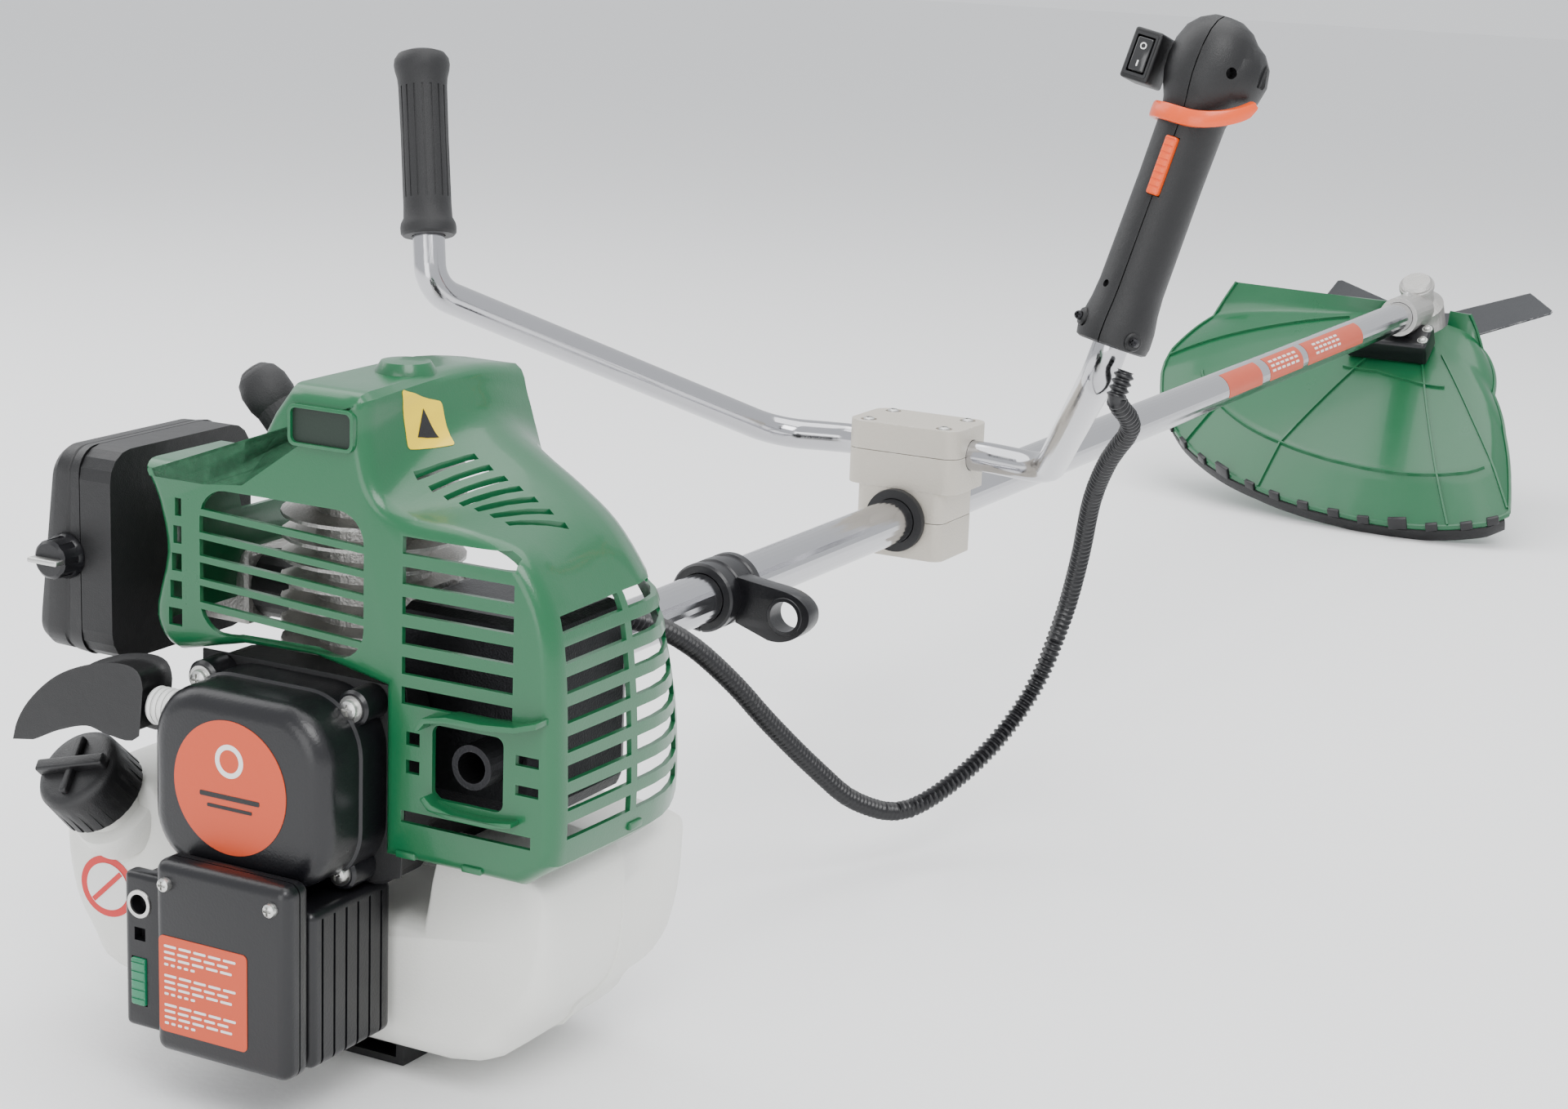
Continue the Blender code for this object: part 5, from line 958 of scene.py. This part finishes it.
# ---------------------------------------------------------------- handlebar and grips
def bent_route(corners, radii, steps=12):
    corners = [Vector(c) for c in corners]
    route = [corners[0]]
    for before, at, after, radius in zip(corners, corners[1:], corners[2:], radii):
        a, b = (before - at).normalized(), (after - at).normalized()
        half = a.angle(b) / 2
        middle = at + (a + b).normalized() * radius / math.sin(half)
        reach = radius / math.tan(half)
        first, last = at + a * reach - middle, at + b * reach - middle
        sweep = first.angle(last)
        for i in range(steps + 1):
            t = i / steps
            turn = (math.sin((1 - t) * sweep) * first + math.sin(t * sweep) * last) / math.sin(sweep)
            route.append(middle + turn)
    return [*route, corners[-1]]


def mirrored(point):
    return Vector((-point.x, point.y, point.z))


def handlebar():
    left_way, left_bend = mirrored(GRIP_WAY), mirrored(BEND_2)
    corners = [left_bend + left_way * 0.138, left_bend, mirrored(BEND_1), (-0.050, 0.562, BAR_Z)]
    corners += [(0.050, 0.562, BAR_Z), BEND_1, BEND_2, BEND_2 + GRIP_WAY * 0.119]
    show(rod("bar", bent_route(corners, (0.020, 0.040, 0.060, 0.060, 0.040, 0.020)), 0.0095, 8), CHROME,
         replaces=("handlebar",))
    high = 0.110
    profile = [(0, high), (0.0095, high - 0.0002), (0.0138, high - 0.0018), (0.0160, high - 0.0050),
               (0.0165, high - 0.0085), (0.0160, high - 0.0120), (0.0148, high - 0.0165),
               (0.0143, high - 0.022),
               (0.0140, 0.060), (0.0141, 0.018), (0.0144, 0.0105), (0.0160, 0.0075), (0.0165, 0.0050),
               (0.0163, 0.0015),
               (0.0150, 0.0), (0.0099, 0.0), (0.0099, high - 0.004), (0, high - 0.004)]
    place = along(left_bend + left_way * 0.032, left_way)
    grip = turned("grip", profile, place, 72)
    flutes = bmesh.new()
    for i in range(18):
        spot = place @ Matrix.Rotation(math.tau * i / 18, 4, "Z") @ Matrix.Translation((0.01475, 0, 0.055))
        bmesh.ops.create_cube(flutes, size=1.0, matrix=spot @ Matrix.Diagonal((0.0020, 0.0011, 0.066, 1)))
    show(carve(grip, shell("f", flutes)), RUBBER, replaces=("left_grip",))


def right_handle():
    top = 0.178
    outer = [(0, top), (0.008, top - 0.001), (0.0145, top - 0.0045), (0.0195, top - 0.010),
             (0.0225, top - 0.018),
             (0.0235, top - 0.027), (0.0230, top - 0.035), (0.0210, top - 0.042), (0.0185, top - 0.048),
             (0.0172, top - 0.054), (0.0168, 0.090), (0.0172, 0.032), (0.0180, 0.022), (0.0195, 0.013),
             (0.0198, 0.005),
             (0.0190, 0.001), (0.0170, 0.0), (0.0100, 0.0), (0.0100, 0.010), (0, 0.010)]
    body = turned("shell", outer, HANDLE_FRAME, 96)
    crown = turned("crown", [(0, 0.0215), (0.0085, 0.0200), (0.0150, 0.0155), (0.0195, 0.0090),
                             (0.0213, 0.0),
                             (0.0195, -0.0090), (0.0150, -0.0145), (0.0085, -0.0180), (0, -0.0195)],
                   HANDLE_FRAME @ Matrix.Translation((0.008, 0.004, top - 0.028)), 72)
    union = body.modifiers.new("crown", "BOOLEAN")
    union.operation = "UNION"
    union.solver = "EXACT"
    union.object = crown
    body = plain(body)
    bpy.data.objects.remove(crown, do_unlink=True)
    seam = boxed("seam", (-0.00035, -0.06, -0.02), (0.00035, 0.06, 0.25), turn=HANDLE_FRAME)
    core = turned("core", [(0, top - 0.0012), (0.0130, top - 0.0075), (0.0220, top - 0.020),
                           (0.0222, top - 0.034),
                           (0.0160, top - 0.054), (0.0160, 0.030), (0.0182, 0.010), (0.0150, 0.0012),
                           (0, 0.0012)],
                  HANDLE_FRAME, 48)
    seam = carve(seam, core)
    slot = boxed("slot", (-0.0035, -0.03, 0.0797), (0.0035, -0.0105, 0.1113), turn=HANDLE_FRAME)
    dark = boxed("dark", (0.0262, -0.0035, 0.148), (0.0320, 0.0035, 0.168), 0.001, turn=HANDLE_FRAME)
    tools = [seam, slot, dark]
    holes = ((-0.018, -0.020, 0.008, 0.0028), (0.0195, -0.018, 0.150, 0.0030),
             (-0.012, -0.022, 0.030, 0.0020))
    for x, y, z, radius in holes:
        way = Vector((x, y, 0)).normalized()
        at = Vector((x, y, z))
        frame_at = HANDLE_FRAME @ along(at - way * 0.010, way)
        tools.append(turned("h", [(0, 0.02), (radius, 0.02), (radius, 0.0), (0, 0.0)], frame_at, 28))
    show(carve(body, *tools), BLACK, replaces=("handle_inner_half", "handle_outer_half"), angle=40)
    bosses = [turned("b", [(0, 0.0), (0.0042, -0.0004), (0.0050, -0.0015), (0.0050, -0.0080),
                           (0, -0.0080)][::1],
                     HANDLE_FRAME @ along((x, y, z), (x, y, 0)), 28)
              for x, y, z in ((-0.0165, -0.0135, 0.010), (0.0170, -0.0130, 0.006))]
    show(merged("handle_bosses", *bosses), BLACK)
    screws("handle_screws", [HANDLE_FRAME @ Vector((-0.0165, -0.0135, 0.010)),
                             HANDLE_FRAME @ Vector((0.0170, -0.0130, 0.006))],
           HANDLE_FRAME.to_3x3() @ Vector((0, -1, 0)), 0.0024, DARK_STEEL, washer=False)
    lever = boxed("lever", (-0.0032, -0.0205, 0.080), (0.0032, -0.0130, 0.111), 0.0012, HANDLE_FRAME, 4)
    grooves = cubes("g", [((-0.005, -0.0212, 0.0835 + 0.0036 * i), (0.005, -0.0200, 0.0846 + 0.0036 * i))
                          for i in range(8)])
    grooves.data.transform(HANDLE_FRAME)
    show(carve(lever, grooves), ORANGE, body="lockout", replaces=("lockout_lever",))

    band = bmesh.new()
    sections = []
    steps = 48
    inner = 0.0178
    for i in range(steps + 1):
        t = i / steps
        a = math.radians(-200 + 195 * t)
        height = 0.122 + 0.016 * max(0.0, (t - 0.6) / 0.4) ** 2
        near = inner + 0.010 * max(0.0, (t - 0.55) / 0.45)
        end = min(1.0, math.sqrt(max(0.0, 1 - (1 - min(t, 1 - t) / 0.03) ** 2)) if min(t,
                                                                                       1 - t) < 0.03 else 1.0)
        ring = []
        for k in range(12):
            b = math.tau * k / 12
            out = 0.00225 + 0.00225 * math.copysign(abs(math.cos(b)) ** 0.5, math.cos(b))
            tall = 0.0045 * max(0.25, end) * math.copysign(abs(math.sin(b)) ** 0.5, math.sin(b))
            r = near + out
            ring.append(band.verts.new(HANDLE_FRAME @ Vector((r * math.cos(a), r * math.sin(a),
                                                              height + tall))))
        sections.append(ring)
    for first, second in zip(sections, sections[1:]):
        for k in range(12):
            j = (k + 1) % 12
            band.faces.new((first[k], first[j], second[j], second[k]))
    band.faces.new(sections[0])
    band.faces.new(sections[-1])
    show(shell("trigger_band", band), ORANGE, body="trigger", replaces=("throttle_trigger",))
    box = boxed("box", (-0.0405, -0.0165, 0.132), (-0.0245, 0.0060, 0.159), 0.0016, HANDLE_FRAME, 4)
    seat = boxed("seat", (-0.0377, -0.0300, 0.1357), (-0.0273, -0.0085, 0.1553), turn=HANDLE_FRAME)
    show(carve(box, seat), BLACK, replaces=("switch_box",))
    frame_rim = prism("rim", round_box(-0.0388, -0.0262, 0.1342, 0.1568, 0.001), 0.0165, 0.0171,
                      HANDLE_FRAME @ UPRIGHT,
                      holes=(round_box(-0.0377, -0.0273, 0.1357, 0.1553, 0.0006)[::-1],))
    show(frame_rim, GLOSS)
    rocker = boxed("rocker_cap", (-0.0369, -0.0175, 0.1366), (-0.0281, -0.0125, 0.1544), 0.0009,
                   HANDLE_FRAME, 4)
    show(rocker, GLOSS, body="rocker", replaces=("switch_rocker",))
    marks = [prism("m", round_box(-0.0330, -0.0322, 0.1392, 0.1424, 0.0003), 0.0174, 0.01765,
                   HANDLE_FRAME @ UPRIGHT),
             prism("m", circle(-0.0325, 0.1500, 0.0018, 28), 0.0174, 0.01765, HANDLE_FRAME @ UPRIGHT,
                   holes=(circle(-0.0325, 0.1500, 0.0012, 28)[::-1],))]
    show(merged("rocker_marks", *marks), WHITE, body="rocker")


handlebar()
right_handle()


# ---------------------------------------------------------------- handlebar bracket and harness clamp
def bracket():
    def outline(half_x, half_y, radius):
        return round_box(-half_x, half_x, 0.562 - half_y, 0.562 + half_y, radius, 8)

    bore = [(0.0183, 0.05), (0.0183, -0.05)]
    bush_bore = turned("bore", [(0, 0.05), *bore, (0, -0.05)], along((0, 0.562, SHAFT_Z), Y), 56)
    bar_bore = turned("bar", [(0, 0.06), (0.0098, 0.06), (0.0098, -0.06), (0, -0.06)],
                      along((0, 0.562, BAR_Z), (1, 0, 0)), 48)

    def copy(tool):
        twin = bpy.data.objects.new("twin", tool.data.copy())
        bpy.context.collection.objects.link(twin)
        return twin

    z0 = SHAFT_Z
    base = prism("base", outline(0.030, 0.025, 0.007), z0 - 0.024, z0 - 0.0002, Matrix(), 0.0028, 4)
    show(carve(base, copy(bush_bore)), CREAM, replaces=("bracket_base",))
    middle = prism("mid", outline(0.038, 0.025, 0.010), z0 + 0.0195, BAR_Z - 0.0002, Matrix(), 0.0022, 4)
    neck = prism("neck", outline(0.030, 0.0246, 0.007), z0 + 0.0002, z0 + 0.022, Matrix(), 0.0015, 3)
    union = middle.modifiers.new("neck", "BOOLEAN")
    union.operation = "UNION"
    union.solver = "EXACT"
    union.object = neck
    middle = plain(middle)
    bpy.data.objects.remove(neck, do_unlink=True)
    show(carve(middle, copy(bush_bore), copy(bar_bore)), CREAM, replaces=("bracket_middle",))
    cap = prism("cap", outline(0.038, 0.025, 0.010), BAR_Z + 0.0002, BAR_Z + 0.0180, Matrix(), 0.0045, 5)
    recess = [turned("r", [(0, 0.01), (0.0052, 0.01), (0.0052, -0.0022), (0, -0.0022)],
                     Matrix.Translation((x, y, BAR_Z + 0.0180)), 32)
              for x in (-0.026, 0.026) for y in (0.5445, 0.5795)]
    show(carve(cap, copy(bar_bore), *recess), CREAM, replaces=("bracket_cap",))
    bpy.data.objects.remove(bush_bore, do_unlink=True)
    bpy.data.objects.remove(bar_bore, do_unlink=True)
    screws("bracket_screws", [(x, y, BAR_Z + 0.0160) for x in (-0.026, 0.026) for y in (0.5445, 0.5795)],
           (0, 0, 1),
           0.0038, washer=False)
    bush = [(0.0196, 0.030), (0.0200, 0.0285), (0.0198, 0.0258), (0.0180, 0.0255), (0.0180, -0.0255),
            (0.0198, -0.0258),
            (0.0200, -0.0285), (0.0196, -0.030), (0.0143, -0.030), (0.0143, 0.030)]
    show(turned("bush", bush, along((0, 0.562, z0), Y), 64), RUBBER, replaces=("shaft_bush",))


def harness():
    z0 = SHAFT_Z
    profile = [(0.0183, 0.018), (0.0195, 0.0168), (0.0195, 0.0120), (0.0186, 0.0112), (0.0186, 0.0055),
               (0.0195, 0.0047),
               (0.0195, -0.0047), (0.0186, -0.0055), (0.0186, -0.0112), (0.0195, -0.0120),
               (0.0195, -0.0168),
               (0.0183, -0.018), (0.0143, -0.018), (0.0143, 0.018)]
    ring = turned("ring", profile, along((0, 0.308, z0), Y), 72)
    ear = [(0.0155, -0.014), (0.036, -0.021), (0.050, -0.019), (0.060, -0.010), (0.060, 0.000),
           (0.050, 0.007), (0.030, 0.010),
           (0.0155, 0.012)]
    outline = smooth_loop([(x, z0 + z) for x, z in ear], {1, 2, 3, 4, 5}, 5)
    flange = prism("ear", [tuple(p) for p in outline], -0.314, -0.302, UPRIGHT, 0.0018, 3)
    union = flange.modifiers.new("ring", "BOOLEAN")
    union.operation = "UNION"
    union.solver = "EXACT"
    union.object = ring
    body = plain(flange)
    bpy.data.objects.remove(ring, do_unlink=True)
    eye = turned("eye", [(0, 0.03), (0.0085, 0.03), (0.0085, -0.03), (0, -0.03)],
                 along((0.046, 0.308, z0 - 0.006), Y), 48)
    split = boxed("split", (-0.0008, 0.28, z0 - 0.03), (0.0008, 0.34, z0 - 0.012))
    show(carve(body, eye, split), SATIN, replaces=("harness_clamp",))
    lip = turned("lip", [(0.0085, 0.0068), (0.0104, 0.0066), (0.0108, 0.0060), (0.0085, 0.0060)],
                 along((0.046, 0.308, z0 - 0.006), -Y), 48)
    show(lip, SATIN)


bracket()
harness()


# ---------------------------------------------------------------- guard
GUARD_EDGE = ((-92, .72), (-81, .84), (-72, .93), (-65, .975), (-58, 1), (-46, 1), (-33, .985), (-22, .97),
              (-12, .97),
              (-2, .98), (6, 1), (13, 1.02), (21, 1.04), (28, 1.052), (33, 1.03), (36, .90), (41, .70),
              (48, .49),
              (70, .28), (84, .20))


def guard_radius(turn):
    for (a, low), (b, high) in zip(GUARD_EDGE, GUARD_EDGE[1:]):
        if a <= turn <= b:
            return 0.262 * (low + (high - low) * (turn - a) / (b - a))
    return 0.262 * GUARD_EDGE[-1][1]


def guard_point(turn, radius, height):
    a = math.radians(turn)
    return HEAD_FRAME @ Vector((radius * math.sin(a), -radius * math.cos(a), height))


def guard_height(share, turn):
    behind = min(1.0, max(0.0, (turn + 67) / 14)) * min(1.0, max(0.0, (42 - turn) / 9))
    ends = max(0.0, (-85 - turn) / 7, (turn - 72) / 12)
    drop = 0.010 * (share / 0.8) ** 2 if share <= 0.8 else 0.010 + 0.024 * (share - 0.8) / 0.2
    return -0.008 - drop * behind - 0.016 * share ** 4 * (1 - ends) * (1 - behind) + 0.012 * ends


def on_guard(turn, share, lift=0.0):
    return guard_point(turn, 0.032 + (guard_radius(turn) - 0.032) * share, guard_height(share, turn) + lift)


def strip_on_guard(name, line, wide, tall):
    """A moulded rib along a line of (turn, share) on the guard's top."""
    points = [Vector(p) for p in line]
    route = []
    for a, b in zip(points, points[1:]):
        count = max(2, int((b - a).length / 4) + 6)
        route += [a.lerp(b, i / count) for i in range(count)]
    route.append(points[-1])
    shape = bmesh.new()
    rings = []
    for i, p in enumerate(route):
        at = on_guard(p.x, p.y)
        before, after = route[max(0, i - 1)], route[min(len(route) - 1, i + 1)]
        way = (on_guard(after.x, after.y) - on_guard(before.x, before.y)).normalized()
        up = (HEAD_FRAME.to_3x3() @ Vector((0, 0, 1))).normalized()
        side = way.cross(up).normalized()
        up = side.cross(way).normalized()
        rings.append([shape.verts.new(at + side * s + up * h) for s, h in
                      ((-wide, -0.001), (-wide * 0.6, tall), (wide * 0.6, tall), (wide, -0.001))])
    for a, b in zip(rings, rings[1:]):
        for i in range(4):
            j = (i + 1) % 4
            shape.faces.new((a[i], a[j], b[j], b[i]))
    shape.faces.new(rings[0])
    shape.faces.new(rings[-1])
    return shell(name, shape)


def guard():
    turns = np.unique(np.concatenate([np.arange(-92, 84.1, 2.0), [a for a, _ in GUARD_EDGE]]))
    shares = (0, .12, .25, .38, .5, .6, .7, .76, .79, .81, .84, .9, .96, 1.0)
    shape = bmesh.new()
    rows = [[shape.verts.new(on_guard(t, s)) for s in shares] for t in map(float, turns)]
    for a, b in zip(rows, rows[1:]):
        for i in range(len(shares) - 1):
            shape.faces.new((a[i], a[i + 1], b[i + 1], b[i]))
    bmesh.ops.recalc_face_normals(shape, faces=shape.faces)
    if sum(f.normal.z * f.calc_area() for f in shape.faces) < 0:
        bmesh.ops.reverse_faces(shape, faces=shape.faces)
    mesh = bpy.data.meshes.new("g")
    shape.to_mesh(mesh)
    shape.free()
    obj = bpy.data.objects.new("guard_shell", mesh)
    bpy.context.collection.objects.link(obj)
    wall = obj.modifiers.new("wall", "SOLIDIFY")
    wall.thickness = 0.0025
    wall.offset = -1.0
    show(plain(obj), GREEN, replaces=("guard",), angle=30)
    ribs = [[(-78, .18), (-74, .55), (-70, .985)], [(-52, .10), (-50, .5), (-46, .80), (-44, .985)],
            [(-24, .12), (-22, .80), (-21, .985)], [(18, .12), (20, .80), (21, .985)],
            [(34.5, .16), (33.5, .55), (33, .97)],
            [(-60, .805), (-46, .80), (-33, .80), (-12, .80), (10, .80), (31, .80)],
            [(-30, .30), (-10, .26), (10, .28), (28, .33)]]
    show(merged("guard_ribs", *[strip_on_guard("r", line, 0.0014, 0.0024) for line in ribs]), GREEN)
    edge = [[(float(t), 0.992) for t in np.arange(-92, 84.1, 4.0)]]
    show(merged("guard_lip", *[strip_on_guard("e", line, 0.0016, 0.0020) for line in edge]), GREEN)
    clips = []
    spots = [-50, -43.5, -36.5, -30, -22.5, -16, -9, -2, 4.5, 11.5, 18, 24.5, 29.5]
    for k, turn in enumerate(spots):
        big = k in (3, 9)
        half = 0.0085 if big else 0.0055
        radius = guard_radius(turn)
        frame_at = HEAD_FRAME @ Matrix.Rotation(math.radians(turn), 4,
                                                "Z") @ Matrix.Translation((0, -radius, 0))
        clips.append(boxed("clip", (-half, -0.0022, -0.0430), (half, 0.0016, -0.0300 if big else -0.0345),
                           0.0009, frame_at))
    show(merged("guard_clips", *clips), SATIN)
    strip = bmesh.new()
    rings = []
    for i in range(69):
        turn = -53 + 85 * i / 68
        r = guard_radius(turn)
        rings.append([strip.verts.new(guard_point(turn, r + o, h)) for o, h in (
            (-0.0080, -0.0448), (-0.0015, -0.0448), (-0.0004, -0.0456), (-0.0008, -0.0500),
            (-0.0030, -0.0590),
            (-0.0040, -0.0600), (-0.0062, -0.0600), (-0.0072, -0.0590))])
    for a, b in zip(rings, rings[1:]):
        for i in range(8):
            j = (i + 1) % 8
            strip.faces.new((a[i], a[j], b[j], b[i]))
    strip.faces.new(rings[0])
    strip.faces.new(rings[-1])
    show(shell("trim", strip), RUBBER, replaces=("guard_trim",))


def head():
    body = boxed("plate", (-0.050, -0.074, -0.0075), (0.028, -0.040, 0.0165), 0.0035, HEAD_FRAME, 4)
    bore = turned("bore", [(0, 0.3), (0.0188, 0.3), (0.0188, 0.0), (0, 0.0)], along((0, 1.398, SHAFT_Z), Y),
                  48)
    show(carve(body, bore), SATIN, replaces=("guard_bracket",))
    up = HEAD_FRAME.to_3x3() @ Vector((0, 0, 1))
    screws("guard_bolts", [HEAD_FRAME @ Vector((x, y, 0.0165)) for x,
                           y in ((-0.042, -0.065), (-0.042, -0.048), (0.0235, -0.065),
                                                                     (0.0235, -0.048))], up, 0.0036)
    screws("head_bolt", [(0.0, 1.652, SHAFT_Z + 0.0185)], (0, 0, 1), 0.0034)
    ring = [(0.0160, 0.0300), (0.0168, 0.0290), (0.0168, 0.0260), (0.0160, 0.0250), (0.0150, 0.0250),
            (0.0150, 0.0300)]
    show(turned("head_ring", ring, HEAD_FRAME, 56), CAST)


guard()
head()


# ---------------------------------------------------------------- air filter, pull handle, plug boot
def filter_box():
    z0 = SHAFT_Z
    low, high, rear, front = z0 + 0.034, z0 + 0.131, -0.091, 0.008
    lean = math.tan(math.radians(9.0))

    def outline(grow):
        """The cover's section in Y and Z, drawn in by grow."""
        return round_box(rear + grow, front - grow, low + grow, high - grow, 0.012, 8)

    shape = bmesh.new()
    rings = []
    for x, grow in ((-0.1062, 0.0), (-0.1140, 0.0005), (-0.1150, 0.0012), (-0.1165, 0.0012),
                    (-0.1175, 0.0008),
                    (-0.1280, 0.0010), (-0.1340, 0.0030), (-0.1375, 0.0065), (-0.1390, 0.0110)):
        ring = []
        for y, z in outline(grow):
            share = max(0.0, (-0.1062 - x) / 0.0328)
            ring.append(shape.verts.new((x + (z - low) * lean * share * 0.9, y, z)))
        rings.append(ring)
    for a, b in zip(rings, rings[1:]):
        for i in range(len(a)):
            j = (i + 1) % len(a)
            shape.faces.new((a[i], a[j], b[j], b[i]))
    shape.faces.new(rings[0])
    shape.faces.new(rings[-1])
    lid = shell("lid", shape)
    show(lid, BLACK, replaces=("air_filter_cover",), angle=28)
    place = along((-0.114, -0.0913, z0 + 0.081), -Y)
    knob = turned("knob", [(0, 0.0120), (0.0075, 0.0118), (0.0090, 0.0105), (0.0092, 0.0030),
                           (0.0105, 0.0010), (0.0105, 0.0),
                           (0, 0.0)], place, 48)
    notches = bmesh.new()
    for i in range(8):
        spot = place @ Matrix.Rotation(math.tau * i / 8, 4, "Z") @ Matrix.Translation((0.0102, 0, 0.008))
        bmesh.ops.create_cube(notches, size=1.0, matrix=spot @ Matrix.Diagonal((0.0030, 0.0030, 0.011, 1)))
    show(carve(knob, shell("n", notches)), SATIN, body="knob", replaces=("filter_knob",))
    wing = boxed("wing", (-0.0085, -0.0012, 0.0100), (0.0085, 0.0012, 0.0165), 0.0008, place)
    show(wing, ZINC, body="knob")


def pull():
    z0 = SHAFT_Z
    arc = [(-.056, .034), (-.061, .040), (-.080, .0375), (-.100, .029), (-.116, .015), (-.1235, .002),
           (-.117, .003),
           (-.102, .010), (-.085, .015), (-.072, .013), (-.058, .014)]
    outline = smooth_loop([(x, z0 + z) for x, z in arc][::-1], {0, 1, 2, 3, 5, 6, 7, 8, 9}, 5)
    sections = []
    for y, depth in ((-0.1130, 0.0034), (-0.1122, 0.0016), (-0.1106, 0.0005), (-0.1085, 0.0),
                     (-0.0975, 0.0),
                     (-0.0954, 0.0005), (-0.0938, 0.0016), (-0.0930, 0.0034)):
        sections.append((inset(outline, depth), y))
    show(loft("pull_grip", sections), BLACK, body="pull", replaces=("pull_handle",), angle=50)
    stem = turned("pull_stem", [(0, 0.0), (0.0042, 0.0), (0.0042, 0.014), (0.0052, 0.015), (0.0058, 0.020),
                                (0.0060, 0.030),
                                (0, 0.030)][::-1], along((-0.032, -0.102, z0 + 0.024), (-1, 0, 0)), 36)
    show(stem, SATIN, body="pull")
    ribs = merged("pull_spring",
                  *[turned("s", [(0.0082, 0.0012), (0.0088, 0.0), (0.0082, -0.0012), (0.0062, -0.0012),
                                                (0.0062, 0.0012)],
                                          along((-0.0435 - 0.0030 * i, -0.102, z0 + 0.024), (-1, 0, 0)), 40)
                                   for i in range(4)])
    show(ribs, WHITE)


def plug():
    z0 = SHAFT_Z
    way = Vector((-0.66, -0.05, 0.75)).normalized()
    top = Vector((-0.006, -0.015, z0 + 0.094)) + way * 0.078
    dome = turned("boot_cap", [(0, 0.0135), (0.0058, 0.0122), (0.0098, 0.0085), (0.0116, 0.0030),
                               (0.0116, -0.0040),
                               (0.0105, -0.0085), (0.0088, -0.0120), (0, -0.0120)], along(top, way), 48)
    show(dome, RUBBER)


filter_box()
pull()
plug()


# ---------------------------------------------------------------- labels and small marks
def shaft_wrap(name, y0, y1, a0, a1, lift=0.0002):
    """A label bent round the shaft tube, from angle a0 to a1 about it, 0 being up and 90 to the right."""
    shape = bmesh.new()
    rings = []
    for radius in (TUBE_R, TUBE_R + lift):
        rows = []
        for i in range(WRAP_PARTS + 1):
            a = math.radians(a0 + (a1 - a0) * i / WRAP_PARTS)
            rows.append([shape.verts.new((radius * math.sin(a), y,
                                          SHAFT_Z + radius * math.cos(a))) for y in (y0, y1)])
        rings.append(rows)
    inner, outer = rings
    for i in range(WRAP_PARTS):
        shape.faces.new((outer[i][0], outer[i][1], outer[i + 1][1], outer[i + 1][0]))
        shape.faces.new((inner[i][0], inner[i + 1][0], inner[i + 1][1], inner[i][1]))
    for i in (0, WRAP_PARTS):
        shape.faces.new((inner[i][0], inner[i][1], outer[i][1], outer[i][0]))
    for k in (0, 1):
        for i in range(WRAP_PARTS):
            shape.faces.new((inner[i][k], outer[i][k], outer[i + 1][k], inner[i + 1][k]))
    return shell(name, shape)


def labels():
    wraps = [shaft_wrap("w", a, b, 15, 105) for a, b in ((1.115, 1.195), (1.215, 1.300), (1.315, 1.470))]
    show(merged("shaft_labels", *wraps), LABEL)
    lines = [shaft_wrap("w", a + 0.006 + 0.012 * i, a + 0.014 + 0.012 * i, t, t + 8, 0.00035)
             for a in (1.215, 1.330) for i in range(6) for t in (35, 52, 69)]
    show(merged("shaft_label_lines", *lines), WHITE)


labels()


# ---------------------------------------------------------------- stickers on the cover and the tank
def stickers():
    patch = along((0.047, -0.047, SHAFT_Z + 0.150), (0.55, -0.20, 0.80), "Y")
    decal("cover_sticker", "cover", patch, round_box(-0.0125, 0.0125, -0.0095, 0.0095, 0.0015), YELLOW)
    mark = [(-0.006, -0.005), (0.006, -0.005), (0.0, 0.0055)]
    decal("cover_sticker_mark", "cover", patch, mark, BLACK, lift=0.0006)
    sign = along((-0.120, -0.066, SHAFT_Z - 0.086), (-0.35, -0.93, 0.0), "Y")
    ring = circle(0, 0, 0.0150, 48)
    decal("tank_sign", "tank", sign, ring, RED)
    decal("tank_sign_field", "tank", sign, circle(0, 0, 0.0115, 48), WHITE, lift=0.0006)
    bar = [(-0.011, -0.0012), (0.011, -0.0012), (0.011, 0.0012), (-0.011, 0.0012)]
    turn = math.radians(45)
    bar = [(x * math.cos(turn) - z * math.sin(turn), x * math.sin(turn) + z * math.cos(turn)) for x,
           z in bar]
    decal("tank_sign_bar", "tank", sign, bar, RED, lift=0.0009)


stickers()


# ---------------------------------------------------------------- studio
def studio():
    floor = boxed("floor", (-14, -6, -0.02), (14, 22, -0.0002))
    paper = look("floor_paper", (0.93, 0.93, 0.93), 0.85, grain=0.004, depth=0.05, dust=0.03)
    floor.data.materials.append(paper)
    world = bpy.data.worlds.new("studio")
    world.use_nodes = True
    world.node_tree.nodes["Background"].inputs[0].default_value = (0.95, 0.97, 1.0, 1)
    world.node_tree.nodes["Background"].inputs[1].default_value = 1.05
    bpy.context.scene.world = world
    for name, at, target, size, power in (
            ("key", (1.6, -1.4, 2.6), (0, 0.4, 0.1), 1.8, 70),
            ("fill", (-1.9, 0.4, 2.0), (0, 0.6, 0.1), 2.4, 40),
            ("top", (0.2, 1.1, 3.2), (0, 0.9, 0.1), 3.0, 70),
            ("low", (0.2, -2.6, 0.7), (0, 0, 0.15), 1.6, 22)):
        data = bpy.data.lights.new(name, "AREA")
        data.size = size
        data.energy = power
        lamp = bpy.data.objects.new(name, data)
        lamp.matrix_world = along(at, Vector(at) - Vector(target))
        bpy.context.collection.objects.link(lamp)


studio()
